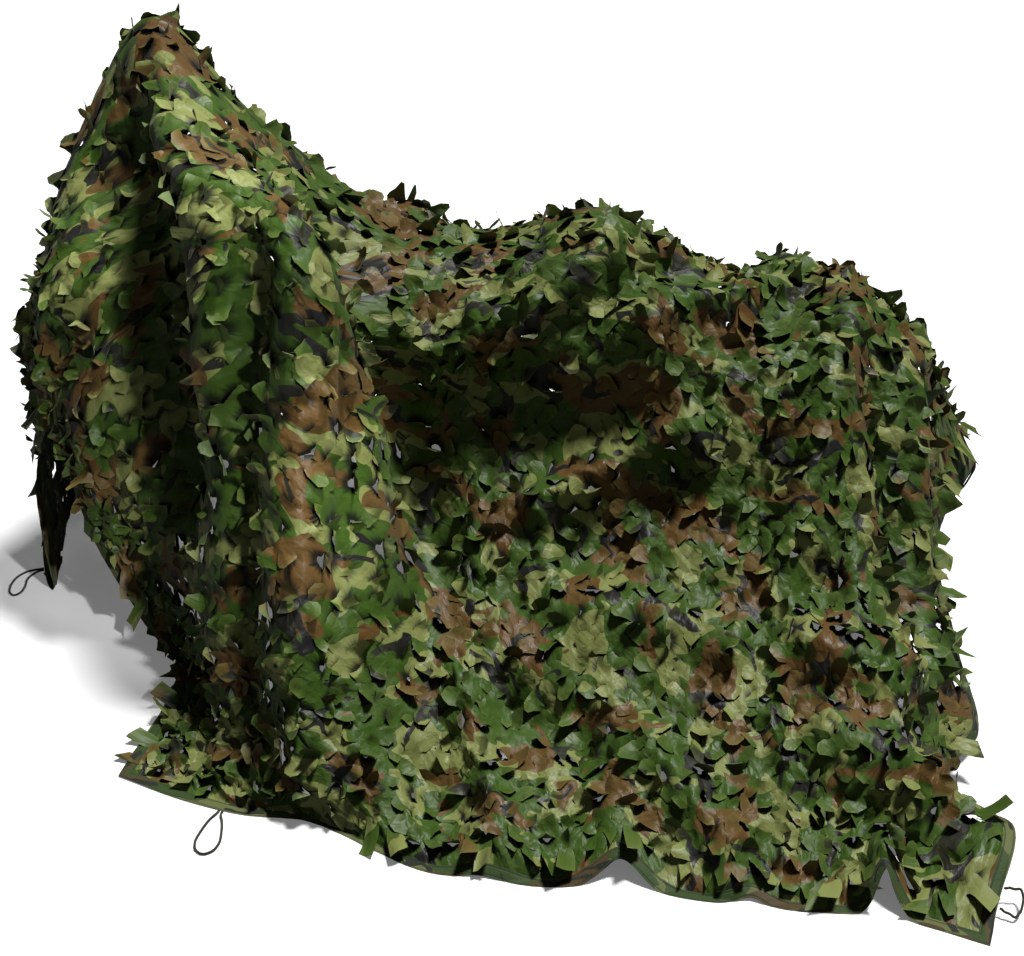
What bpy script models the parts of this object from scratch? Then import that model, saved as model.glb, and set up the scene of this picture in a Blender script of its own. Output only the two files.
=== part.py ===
"""Camouflage net, draped as a cover over a motorcycle-sized vehicle.

A single leaf-cut cloth hangs in its main folds, hollow underneath, with a
sewn binding strip along each of its four sides and five cord tie loops.
Front of the covered vehicle is -X, its side-stand side is -Y, +Z is up.
The floor is z = 0 and the origin is under the middle of the net.
Metres throughout.
"""
import math
from collections import namedtuple

import bpy
import numpy as np

# ---- cloth ---------------------------------------------------------------
CLOTH_LENGTH = 2.65          # along the vehicle, front hem to rear hem
CLOTH_HALF_WIDTH = 1.45      # ridge to either side hem
CLOTH_THICKNESS = 0.003
CELLS_LONG = 46              # mesh cells, front hem to rear hem
CELLS_WIDE = 42              # mesh cells, near hem to far hem
ORIGIN_SHIFT = (-0.210, 0.134, 0.0)   # puts the origin under the middle

# ---- leaf slits that gape -------------------------------------------------
SLIT_STEP_LONG = 3           # cells from one gaping slit to the next
SLIT_STEP_WIDE = 3
SLIT_GAPE = 0.20             # half opening, as a share of half a cell

# ---- binding ---------------------------------------------------------------
BINDING_WIDTH = 0.025
BINDING_THICKNESS = 0.003
SEAM_GAP = 0.0003            # between sewn pieces

# ---- tie loops -------------------------------------------------------------
CORD_DIAMETER = 0.005
CORD_POINTS = 36

# Cross sections of the drape, front to rear. "along" is the share of the
# cloth's length. Each point is (x, y, z); the heights at a hem are 0 where it
# lies on the floor.
Section = namedtuple(
    "Section", "along near_hem near_foot near_waist near_shoulder ridge "
    "far_shoulder far_waist far_foot far_hem")
ACROSS = (-1.0, -0.74, -0.48, -0.24, 0.0, 0.22, 0.44, 0.72, 1.0)
SECTIONS = (
    # over the front wheel
    Section(0.00, (-0.51, -0.70, 0), (-0.455, -0.37, 0), (-0.565, -0.20, 0.07), (-0.68, -0.14, 0.29),
            (-0.76, -0.04, 0.47), (-0.83, 0.06, 0.34), (-0.82, 0.03, 0.01), (-0.89, 0.40, 0), (-0.74, 0.76, 0)),
    Section(0.10, (-0.39, -0.765, 0), (-0.39, -0.46, 0.05), (-0.54, -0.20, 0.24), (-0.70, -0.12, 0.52),
            (-0.78, 0.03, 0.67), (-0.82, 0.14, 0.60), (-0.80, 0.25, 0.32), (-0.74, 0.54, 0.10), (-0.58, 0.83, 0)),
    Section(0.20, (-0.26, -0.815, 0), (-0.33, -0.60, 0.18), (-0.44, -0.32, 0.50), (-0.55, -0.20, 0.82),
            (-0.66, 0.03, 0.95), (-0.725, 0.27, 0.97), (-0.66, 0.44, 0.68), (-0.54, 0.68, 0.25), (-0.38, 0.88, 0)),
    # over the handlebar, which is turned towards -Y
    Section(0.28, (-0.15, -0.84, 0), (-0.22, -0.67, 0.26), (-0.28, -0.45, 0.68), (-0.29, -0.34, 1.04),
            (-0.45, 0.00, 1.18), (-0.535, 0.37, 1.25), (-0.46, 0.56, 0.80), (-0.34, 0.75, 0.30), (-0.22, 0.90, 0)),
    Section(0.35, (-0.03, -0.91, 0), (-0.10, -0.72, 0.27), (-0.12, -0.50, 0.66), (-0.15, -0.38, 1.02),
            (-0.25, 0.00, 1.06), (-0.35, 0.33, 1.09), (-0.28, 0.52, 0.70), (-0.20, 0.72, 0.26), (-0.10, 0.91, 0)),
    # over the tank and the seat
    Section(0.43, (0.12, -0.995, 0), (0.09, -0.61, 0.18), (0.07, -0.31, 0.50), (0.02, -0.26, 0.79),
            (-0.03, 0.00, 0.90), (-0.05, 0.26, 0.86), (-0.02, 0.44, 0.56), (0.02, 0.67, 0.20), (0.07, 0.92, 0)),
    Section(0.52, (0.29, -1.025, 0), (0.25, -0.66, 0.17), (0.22, -0.31, 0.44), (0.20, -0.22, 0.77),
            (0.19, 0.00, 0.87), (0.17, 0.22, 0.80), (0.20, 0.40, 0.50), (0.23, 0.65, 0.18), (0.25, 0.92, 0)),
    Section(0.62, (0.49, -1.045, 0), (0.47, -0.68, 0.20), (0.46, -0.34, 0.46), (0.45, -0.22, 0.80),
            (0.45, 0.00, 0.92), (0.44, 0.22, 0.83), (0.46, 0.40, 0.50), (0.46, 0.65, 0.18), (0.45, 0.92, 0)),
    Section(0.74, (0.69, -1.085, 0), (0.72, -0.72, 0.21), (0.74, -0.42, 0.44), (0.74, -0.24, 0.70),
            (0.74, 0.00, 0.78), (0.74, 0.23, 0.70), (0.74, 0.40, 0.46), (0.72, 0.65, 0.18), (0.70, 0.92, 0)),
    # over the tail
    Section(0.86, (0.88, -1.105, 0), (0.94, -0.78, 0.21), (0.97, -0.46, 0.42), (1.01, -0.24, 0.66),
            (1.02, 0.00, 0.77), (1.03, 0.23, 0.66), (1.00, 0.40, 0.40), (0.98, 0.65, 0.16), (0.95, 0.92, 0)),
    Section(0.94, (1.01, -1.135, 0), (1.07, -0.76, 0.14), (1.09, -0.44, 0.28), (1.12, -0.22, 0.50),
            (1.18, 0.00, 0.58), (1.18, 0.19, 0.50), (1.16, 0.40, 0.26), (1.13, 0.66, 0.08), (1.09, 0.92, 0)),
    Section(1.00, (1.095, -1.175, 0), (1.20, -0.66, 0.05), (1.19, -0.40, 0.14), (1.185, -0.20, 0.28),
            (1.29, 0.00, 0.365), (1.30, 0.18, 0.28), (1.28, 0.40, 0.06), (1.24, 0.66, 0), (1.20, 0.91, 0)),
)

# Folds, each a soft ridge (+ lift) or trough (- lift) along a straight run of
# the cloth. The ends are (along, across); width and fade are in metres.
Fold = namedtuple("Fold", "name start end lift width fade")
FOLDS = (
    Fold("front valley", (0.230, 0.03), (0.185, -0.46), -0.13, 0.095, 0.10),
    Fold("panel ridge", (0.20, 0.00), (0.10, -0.10), 0.03, 0.08, 0.08),
    Fold("panel trough", (0.17, -0.22), (0.09, -0.11), -0.04, 0.055, 0.05),
    Fold("knee ridge", (0.11, -0.28), (0.05, -0.34), 0.02, 0.07, 0.05),
    Fold("grip pleat", (0.262, -0.05), (0.258, -0.40), 0.045, 0.055, 0.12),
    Fold("pleat valley", (0.302, -0.34), (0.27, -0.58), -0.05, 0.05, 0.08),
    Fold("pleat toe", (0.255, -0.66), (0.225, -0.84), -0.035, 0.055, 0.08),
    Fold("grip cone", (0.345, -0.26), (0.305, -0.90), 0.045, 0.085, 0.08),
    Fold("cone groove", (0.375, -0.42), (0.345, -0.80), -0.02, 0.04, 0.08),
    Fold("tank valley", (0.405, -0.10), (0.44, -0.56), -0.08, 0.07, 0.12),
    Fold("seat hollow", (0.50, -0.36), (0.66, -0.44), -0.06, 0.13, 0.08),
    Fold("hollow pit", (0.585, -0.56), (0.62, -0.55), -0.05, 0.07, 0.04),
    Fold("hollow ridge", (0.56, -0.50), (0.69, -0.38), 0.075, 0.05, 0.04),
    Fold("tank crease", (0.46, -0.34), (0.52, -0.22), 0.03, 0.05, 0.05),
    Fold("tank ridge", (0.53, -0.28), (0.62, -0.10), 0.035, 0.05, 0.05),
    Fold("seat bump", (0.60, 0.02), (0.63, -0.06), 0.02, 0.09, 0.06),
    Fold("seat dip", (0.60, -0.26), (0.68, -0.06), -0.035, 0.05, 0.05),
    Fold("seat ridge", (0.65, -0.24), (0.77, -0.02), 0.04, 0.05, 0.05),
    Fold("tail dip", (0.73, -0.22), (0.80, -0.06), -0.02, 0.05, 0.05),
    Fold("tail ridge", (0.83, -0.14), (0.785, -0.52), 0.04, 0.06, 0.10),
    Fold("tail valley", (0.865, -0.26), (0.92, -0.50), -0.045, 0.06, 0.08),
    Fold("rear ridge", (0.91, -0.10), (0.965, -0.60), 0.03, 0.06, 0.10),
    Fold("apron dip one", (0.80, -0.57), (0.82, -0.57), -0.045, 0.06, 0.05),
    Fold("apron ridge one", (0.60, -0.64), (0.72, -0.67), 0.035, 0.06, 0.06),
    Fold("apron ridge two", (0.80, -0.67), (0.92, -0.66), 0.035, 0.06, 0.06),
    Fold("apron dip two", (0.52, -0.76), (0.58, -0.80), -0.04, 0.06, 0.05),
    Fold("apron ridge three", (0.64, -0.82), (0.72, -0.95), 0.045, 0.06, 0.05),
    Fold("apron ridge four", (0.47, -0.74), (0.50, -0.96), 0.03, 0.06, 0.05),
    Fold("apron dip three", (0.42, -0.88), (0.45, -0.93), -0.03, 0.06, 0.05),
    Fold("corner dip", (0.82, -0.875), (0.93, -0.90), -0.035, 0.055, 0.05),
    Fold("corner ridge", (0.82, -0.79), (0.97, -0.82), 0.04, 0.06, 0.05),
    Fold("far grip cone", (0.28, 0.30), (0.25, 0.84), 0.05, 0.09, 0.10),
    Fold("far front valley", (0.17, 0.34), (0.15, 0.70), -0.06, 0.07, 0.10),
    Fold("far front ridge", (0.10, 0.22), (0.07, 0.60), 0.04, 0.07, 0.10),
    Fold("far tank valley", (0.37, 0.26), (0.36, 0.80), -0.06, 0.08, 0.12),
    Fold("far tank ridge", (0.46, 0.20), (0.45, 0.78), 0.04, 0.07, 0.10),
    Fold("far seat swag", (0.52, 0.34), (0.68, 0.44), -0.05, 0.08, 0.06),
    Fold("far apron ridge one", (0.56, 0.52), (0.58, 0.90), 0.045, 0.07, 0.08),
    Fold("far apron valley", (0.65, 0.50), (0.66, 0.86), -0.04, 0.07, 0.08),
    Fold("far tail ridge", (0.79, 0.16), (0.75, 0.82), 0.045, 0.07, 0.10),
    Fold("far tail valley", (0.86, 0.26), (0.86, 0.74), -0.045, 0.07, 0.08),
    Fold("far rear ridge", (0.93, 0.16), (0.94, 0.74), 0.04, 0.06, 0.08),
)

# Places where a hem lifts off the floor between two lobes, or is drawn in.
# "at" is the share along that hem, measured as in the sections; lift is
# upwards, tuck is inwards, width along the hem and reach into the cloth.
Arch = namedtuple("Arch", "hem at lift tuck width reach")
ARCHES = (
    Arch("near", 0.470, 0.015, 0.015, 0.060, 0.14),
    Arch("near", 0.605, 0.052, 0.045, 0.062, 0.18),
    Arch("near", 0.745, 0.020, 0.020, 0.050, 0.14),
    Arch("near", 0.897, 0.075, 0.060, 0.040, 0.16),
    Arch("far", 0.220, 0.035, 0.040, 0.060, 0.16),
    Arch("far", 0.400, 0.040, 0.040, 0.060, 0.16),
    Arch("far", 0.640, 0.045, 0.045, 0.060, 0.16),
    Arch("far", 0.830, 0.040, 0.040, 0.060, 0.16),
    Arch("front", 0.700, 0.030, 0.030, 0.060, 0.14),
    Arch("rear", -0.800, 0.020, 0.080, 0.055, 0.12),
    Arch("rear", -0.910, 0.065, -0.040, 0.050, 0.12),
    Arch("rear", 0.640, 0.030, 0.040, 0.070, 0.14),
)
HEM_CROWDING = 0.68          # share of its full length that a side hem spans
INWARD = {"near": (0, 1), "far": (0, -1), "front": (1, 0), "rear": (-1, 0)}

# For each hem: its first and last point, and the hem and point that they meet.
CORNERS = {
    "near": ((0, "front", 0), (-1, "rear", 0)),
    "far": ((0, "front", -1), (-1, "rear", -1)),
    "front": ((0, "near", 0), (-1, "far", 0)),
    "rear": ((0, "near", -1), (-1, "far", -1)),
}

# Tie loops. "at" is the share along the hem, reach and width are the loop's
# size, feet is the distance between its two sewn ends and gap is what lies
# between them and the binding. Over its first stretch, "turn" long, a loop
# swings aside and droops by these degrees.
Loop = namedtuple("Loop", "name hem at reach width feet gap turn swing droop")
LOOPS = (
    Loop("tie_loop_near_front", "near", 0.165, 0.135, 0.046, 0.008, 0.0004, 0.03, 14.0, 0.0),
    Loop("tie_loop_near_rear", "rear", -0.965, 0.038, 0.060, 0.044, 0.0009, 0.03, 0.0, 0.0),
    Loop("tie_loop_rear", "rear", 0.060, 0.090, 0.030, 0.008, 0.0008, 0.03, 0.0, 55.0),
    Loop("tie_loop_front", "front", 0.524, 0.140, 0.034, 0.008, 0.0006, 0.08, -75.0, 0.0),
    Loop("tie_loop_far_rear", "far", 0.930, 0.125, 0.046, 0.008, 0.0006, 0.03, 8.0, 0.0),
)


def clear_scene():
    for old in list(bpy.data.objects):
        bpy.data.objects.remove(old, do_unlink=True)


def cloth_material(name, colour, roughness):
    material = bpy.data.materials.new(name)
    material.use_nodes = True
    shader = material.node_tree.nodes["Principled BSDF"]
    shader.inputs["Base Color"].default_value = (*colour, 1.0)
    shader.inputs["Roughness"].default_value = roughness
    shader.inputs["Metallic"].default_value = 0.0
    return material


def hermite_weights(place, knots):
    """Knot index and the four cubic weights at each place."""
    knots = np.asarray(knots, float)
    place = np.clip(place, knots[0], knots[-1])
    index = np.clip(np.searchsorted(knots, place, side="right") - 1, 0, len(knots) - 2)
    step = knots[index + 1] - knots[index]
    t = (place - knots[index]) / step
    start = (1 + 2 * t) * (1 - t) ** 2
    leave = t * (1 - t) ** 2 * step
    end = t * t * (3 - 2 * t)
    arrive = t * t * (t - 1) * step
    return index, start, leave, end, arrive


def knot_slopes(values, knots):
    """Slopes of a smooth curve through values, one for each knot (axis 0)."""
    gaps = np.diff(np.asarray(knots, float)).reshape((-1,) + (1,) * (values.ndim - 1))
    chords = np.diff(values, axis=0) / gaps
    slopes = np.empty_like(values)
    slopes[0] = chords[0]
    slopes[-1] = chords[-1]
    slopes[1:-1] = (chords[:-1] * gaps[1:] + chords[1:] * gaps[:-1]) / (gaps[:-1] + gaps[1:])
    return slopes


def sections_surface(along, across):
    """Points of the smooth surface through the sections."""
    count = len(along)
    table = np.array([section[1:] for section in SECTIONS], float)
    table = table.transpose(1, 0, 2)
    slopes = knot_slopes(table, ACROSS)
    index, start, leave, end, arrive = hermite_weights(across, ACROSS)
    rows = (start[:, None, None] * table[index] + leave[:, None, None] * slopes[index]
            + end[:, None, None] * table[index + 1] + arrive[:, None, None] * slopes[index + 1])
    rows = rows.transpose(1, 0, 2)
    knots = [section.along for section in SECTIONS]
    slopes = knot_slopes(rows, knots)
    index, start, leave, end, arrive = hermite_weights(along, knots)
    own = np.arange(count)
    return (start[:, None] * rows[index, own] + leave[:, None] * slopes[index, own]
            + end[:, None] * rows[index + 1, own] + arrive[:, None] * slopes[index + 1, own])


def surface_normals(surface, along, across, step=0.004):
    """Outward normals of a surface function, from points a short step apart."""
    ahead = surface(np.clip(along + step, 0, 1), across)
    behind = surface(np.clip(along - step, 0, 1), across)
    right = surface(along, np.clip(across + step, -1, 1))
    left = surface(along, np.clip(across - step, -1, 1))
    normals = np.cross(ahead - behind, right - left)
    return normals / np.linalg.norm(normals, axis=1, keepdims=True)


def fold_height(along, across):
    """Sum of the folds at each place of the cloth."""
    height = np.zeros(len(along))
    scale = np.array((CLOTH_LENGTH, CLOTH_HALF_WIDTH))
    place = np.column_stack((along, across)) * scale
    for fold in FOLDS:
        start = np.array(fold.start) * scale
        run = np.array(fold.end) * scale - start
        length = np.linalg.norm(run)
        run /= length
        ahead = (place - start) @ run
        aside = (place - start) @ np.array((-run[1], run[0]))
        beyond = np.maximum(0, np.maximum(-ahead, ahead - length))
        height += fold.lift * np.exp(-(aside / fold.width) ** 2 - (beyond / fold.fade) ** 2)
    return height


def arch_shift(along, across):
    """How far each place moves because a hem is lifted or drawn in."""
    shift = np.zeros((len(along), 3))
    for arch in ARCHES:
        if arch.hem in ("near", "far"):
            beside = (along - arch.at) * CLOTH_LENGTH * HEM_CROWDING
            depth = (1 - np.abs(across)) * CLOTH_HALF_WIDTH
            same_side = (across < 0) == (arch.hem == "near")
        else:
            beside = (across - arch.at) * CLOTH_HALF_WIDTH * HEM_CROWDING
            depth = (along if arch.hem == "front" else 1 - along) * CLOTH_LENGTH
            same_side = depth < CLOTH_LENGTH / 2
        share = np.exp(-(beside / arch.width) ** 2 - (depth / arch.reach) ** 2) * same_side
        inward = INWARD[arch.hem]
        shift += share[:, None] * np.array((arch.tuck * inward[0], arch.tuck * inward[1], arch.lift))
    return shift


def drape(along, across):
    """Middle surface of the cloth at (along, across), as arrays."""
    points = sections_surface(along, across)
    points += surface_normals(sections_surface, along, across) * fold_height(along, across)[:, None]
    points += arch_shift(along, across) + np.array(ORIGIN_SHIFT)
    points[:, 2] = np.maximum(points[:, 2], CLOTH_THICKNESS / 2)
    return points


def drape_normals(along, across):
    return surface_normals(drape, along, across)


def slit_cells():
    """Cells that are cut away as gaping slits, with the way that each one leans."""
    cells = {}
    for row, i in enumerate(range(1, CELLS_LONG - 2, SLIT_STEP_LONG)):
        offset = 1 + (row % 2) * (SLIT_STEP_WIDE // 2 + 1)
        for j in range(offset, CELLS_WIDE - 2, SLIT_STEP_WIDE):
            cells[(i, j)] = row % 2 == 0
    return cells


def cell_grid(slits):
    """Cloth coordinates of the mesh, with the slits drawn narrow."""
    along = np.repeat(np.linspace(0, 1, CELLS_LONG + 1)[:, None], CELLS_WIDE + 1, axis=1)
    across = np.repeat(np.linspace(-1, 1, CELLS_WIDE + 1)[None, :], CELLS_LONG + 1, axis=0)
    for (i, j), rising in slits.items():
        corners = ((i + 1, j), (i, j + 1)) if rising else ((i, j), (i + 1, j + 1))
        middle = (along[i:i + 2, j:j + 2].mean(), across[i:i + 2, j:j + 2].mean())
        for corner in corners:
            along[corner] = middle[0] + (along[corner] - middle[0]) * SLIT_GAPE
            across[corner] = middle[1] + (across[corner] - middle[1]) * SLIT_GAPE
    return along, across


def closed_sheet(name, middle, normals, thickness, material, missing=()):
    """Closed solid of a rows x columns sheet; missing cells are holes through it."""
    rows, columns = middle.shape[:2]
    upper = middle + normals * thickness / 2
    lower = middle - normals * thickness / 2
    lower[..., 2] = np.maximum(lower[..., 2], 0.0)
    upper[..., 2] = np.maximum(upper[..., 2], lower[..., 2] + thickness / 2)
    points = np.concatenate((upper.reshape(-1, 3), lower.reshape(-1, 3)))
    below = rows * columns
    faces = []
    edges = {}
    for i in range(rows - 1):
        for j in range(columns - 1):
            if (i, j) in missing:
                continue
            a, b = i * columns + j, (i + 1) * columns + j
            c, d = b + 1, a + 1
            if np.linalg.norm(middle[i, j] - middle[i + 1, j + 1]) <= np.linalg.norm(
                    middle[i + 1, j] - middle[i, j + 1]):
                triangles = ((a, b, c), (a, c, d))
            else:
                triangles = ((a, b, d), (b, c, d))
            for one, two, three in triangles:
                faces.append((one, two, three))
                faces.append((three + below, two + below, one + below))
            for edge in ((a, b), (b, c), (c, d), (d, a)):
                edges[edge] = True
    for one, two in edges:
        if (two, one) in edges:
            continue
        one_below, two_below = one + below, two + below
        if math.dist(points[two], points[one_below]) <= math.dist(points[one], points[two_below]):
            faces.append((two, one, one_below))
            faces.append((two, one_below, two_below))
        else:
            faces.append((two, one, two_below))
            faces.append((one, one_below, two_below))
    used = sorted({corner for face in faces for corner in face})
    renumber = {old: new for new, old in enumerate(used)}
    faces = [tuple(renumber[corner] for corner in face) for face in faces]
    mesh = bpy.data.meshes.new(name)
    mesh.from_pydata(points[used].tolist(), [], faces)
    mesh.materials.append(material)
    mesh.update()
    mesh.shade_smooth()
    mesh.set_sharp_from_angle(angle=math.radians(40))
    solid = bpy.data.objects.new(name, mesh)
    bpy.context.collection.objects.link(solid)
    return solid


def build_net(material):
    slits = slit_cells()
    along, across = cell_grid(slits)
    shape = along.shape + (3,)
    middle = drape(along.ravel(), across.ravel()).reshape(shape)
    normals = drape_normals(along.ravel(), across.ravel()).reshape(shape)
    return closed_sheet("net", middle, normals, CLOTH_THICKNESS, material, slits)


def hem_line(hem):
    """Cloth coordinates along one hem and the same a little further in."""
    inset = 0.01
    if hem in ("near", "far"):
        along = np.linspace(0, 1, CELLS_LONG + 1)
        side = -1.0 if hem == "near" else 1.0
        return along, np.full_like(along, side), along, np.full_like(along, side * (1 - inset))
    across = np.linspace(-1, 1, CELLS_WIDE + 1)
    end = 0.0 if hem == "front" else 1.0
    within = inset if hem == "front" else 1 - inset
    return np.full_like(across, end), across, np.full_like(across, within), across


def unit(vectors):
    return vectors / np.linalg.norm(vectors, axis=-1, keepdims=True)


def hem_frame(hem):
    """Points of a hem with its outward, lengthwise and normal directions."""
    along, across, along_in, across_in = hem_line(hem)
    edge = drape(along, across)
    inner = drape(along_in, across_in)
    tangent = unit(np.gradient(edge, axis=0))
    outward = edge - inner
    outward -= (outward * tangent).sum(axis=1, keepdims=True) * tangent
    normals = drape_normals(along, across)
    outward = unit(outward - (outward * normals).sum(axis=1, keepdims=True) * normals)
    return edge, outward, tangent, normals


def mitre(outward, neighbour_outward):
    """Way out along the mitred joint of two strips that meet at a corner."""
    return (outward + neighbour_outward) / (1 + outward @ neighbour_outward)


def build_binding(hem, material):
    edge, outward, tangent, normals = hem_frame(hem)
    for end, neighbour, neighbour_end in CORNERS[hem]:
        outward[end] = mitre(outward[end], hem_frame(neighbour)[1][neighbour_end])
    edge[0] += tangent[0] * SEAM_GAP
    edge[-1] -= tangent[-1] * SEAM_GAP
    lines = [edge + outward * SEAM_GAP, edge + outward * (SEAM_GAP + BINDING_WIDTH)]
    middle = np.stack(lines, axis=1)
    middle[..., 2] = np.maximum(middle[..., 2], BINDING_THICKNESS / 2)
    both = np.stack((normals, normals), axis=1)
    if hem in ("near", "rear"):
        middle = middle[:, ::-1]
    return closed_sheet("binding_" + hem, middle, both, BINDING_THICKNESS, material)


def smooth_route(points, count):
    """Evenly spaced points on a smooth curve through a few."""
    points = np.array(points, float)
    knots = np.concatenate(((0,), np.cumsum(np.linalg.norm(np.diff(points, axis=0), axis=1))))
    slopes = knot_slopes(points, knots)
    index, start, leave, end, arrive = hermite_weights(np.linspace(0, knots[-1], count), knots)
    return (start[:, None] * points[index] + leave[:, None] * slopes[index]
            + end[:, None] * points[index + 1] + arrive[:, None] * slopes[index + 1])


def loop_outline(loop):
    """Route of a tie loop as (out, aside) from the middle of its two sewn ends."""
    feet = loop.feet / 2
    width = loop.width / 2
    shape = ((0.00, feet), (0.06, feet), (0.24, feet + (width - feet) * 0.45),
             (0.50, width * 0.88), (0.76, width), (0.93, width * 0.66))
    going = [(loop.reach * out, aside) for out, aside in shape]
    coming = [(out, -aside) for out, aside in reversed(going)]
    return smooth_route(going + [(loop.reach, 0.0)] + coming, CORD_POINTS)


def bend(reach, degrees, turn):
    """Where a cord gets to, ahead and aside, as it turns over its first stretch."""
    if degrees == 0:
        return reach, 0.0
    angle = math.radians(degrees)
    turned = angle * min(1.0, reach / turn)
    beyond = max(0.0, reach - turn)
    ahead = math.sin(turned) * turn / angle + beyond * math.cos(angle)
    aside = (1 - math.cos(turned)) * turn / angle + beyond * math.sin(angle)
    return ahead, aside


def loop_route(loop):
    """Points of a tie loop's cord, from one sewn end to the other."""
    edge, outward, tangent = hem_frame(loop.hem)[:3]
    share = loop.at if loop.hem in ("near", "far") else (loop.at + 1) / 2
    place = share * (len(edge) - 1)
    low = int(place)
    foot, out, aside = ((1 - place + low) * line[low] + (place - low) * line[low + 1]
                        for line in (edge, outward, tangent))
    if foot[2] < CORD_DIAMETER:
        out[2] = 0
        aside[2] = 0
    out = unit(out)
    aside = unit(aside - (aside @ out) * out)
    down = np.array((0, 0, -1.0))
    down = unit(down - (down @ out) * out)
    start = foot + out * (SEAM_GAP + BINDING_WIDTH + loop.gap)
    route = []
    for reach, side in loop_outline(loop):
        ahead, swung = bend(reach, loop.swing, loop.turn)
        turned = math.radians(loop.swing) * min(1.0, reach / loop.turn)
        ahead -= side * math.sin(turned)
        swung += side * math.cos(turned)
        ahead, dropped = bend(ahead, loop.droop, loop.turn)
        point = start + out * ahead + aside * swung + down * dropped
        point[2] = max(point[2], CORD_DIAMETER / 2 + SEAM_GAP)
        route.append(tuple(point))
    return route


def build_loop(loop, material):
    curve = bpy.data.curves.new(loop.name, "CURVE")
    curve.dimensions = "3D"
    curve.bevel_depth = CORD_DIAMETER / 2
    curve.bevel_resolution = 2
    curve.use_fill_caps = True
    spline = curve.splines.new("POLY")
    route = loop_route(loop)
    spline.points.add(len(route) - 1)
    for point, place in zip(spline.points, route):
        point.co = (*place, 1.0)
    curve.materials.append(material)
    cord = bpy.data.objects.new(loop.name, curve)
    bpy.context.collection.objects.link(cord)
    return cord


def main():
    clear_scene()
    leaf_cloth = cloth_material("leaf_cloth", (0.11, 0.17, 0.06), 0.72)
    binding_cloth = cloth_material("binding_cloth", (0.09, 0.14, 0.05), 0.75)
    cord = cloth_material("olive_cord", (0.035, 0.045, 0.02), 0.7)
    build_net(leaf_cloth)
    for hem in ("near", "far", "front", "rear"):
        build_binding(hem, binding_cloth)
    for loop in LOOPS:
        build_loop(loop, cord)


main()
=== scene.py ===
"""Camouflage net draped over a motorcycle, finished for rendering.

Laid out as an add-on: the cloth with its cut leaves, the sewn binding, the
cord tie loops and the stage are each one operator, with their sizes and
colours in property groups. Front of the covered vehicle is -X, its side-stand
side is -Y, +Z is up, and the floor is z = 0. Metres throughout.
"""

import math
from collections import namedtuple

import bpy
import numpy as np
from bpy.props import FloatProperty, FloatVectorProperty, IntProperty, PointerProperty
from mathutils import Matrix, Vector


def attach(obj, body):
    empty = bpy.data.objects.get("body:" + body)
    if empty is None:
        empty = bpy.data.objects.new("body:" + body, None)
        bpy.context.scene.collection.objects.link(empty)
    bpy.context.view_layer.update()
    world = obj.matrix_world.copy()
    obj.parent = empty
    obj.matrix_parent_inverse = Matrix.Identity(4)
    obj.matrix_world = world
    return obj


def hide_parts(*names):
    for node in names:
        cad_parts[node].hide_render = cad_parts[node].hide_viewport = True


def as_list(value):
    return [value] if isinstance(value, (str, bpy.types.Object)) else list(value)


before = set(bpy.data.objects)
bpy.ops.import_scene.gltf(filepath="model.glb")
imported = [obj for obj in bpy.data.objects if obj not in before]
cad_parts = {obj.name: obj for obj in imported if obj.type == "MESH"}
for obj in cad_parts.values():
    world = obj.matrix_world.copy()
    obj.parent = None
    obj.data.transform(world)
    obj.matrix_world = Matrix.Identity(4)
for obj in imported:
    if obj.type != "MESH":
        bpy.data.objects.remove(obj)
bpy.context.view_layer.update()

bl_info = {
    "name": "Camouflage net",
    "version": (1, 0, 0),
    "blender": (4, 5, 0),
    "location": "3D View > Sidebar > Camouflage net",
    "description": "Leaf-cut camouflage net draped as a cover, with binding and tie loops",
    "category": "Object",
}

# ---- the drape, as the solids have it ---------------------------------------
CLOTH_LENGTH = 2.65          # along the vehicle, front hem to rear hem
CLOTH_HALF_WIDTH = 1.45      # ridge to either side hem
CLOTH_THICKNESS = 0.003
CELLS_LONG = 46              # steps of the solids along a side hem
CELLS_WIDE = 42              # and along a front or rear hem
BINDING_WIDTH = 0.025
SEAM_GAP = 0.0003
ORIGIN_SHIFT = (-0.210, 0.134, 0.0)   # puts the origin under the middle
CORD_DIAMETER = 0.005
CORD_POINTS = 36             # points of a tie loop's route

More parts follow.
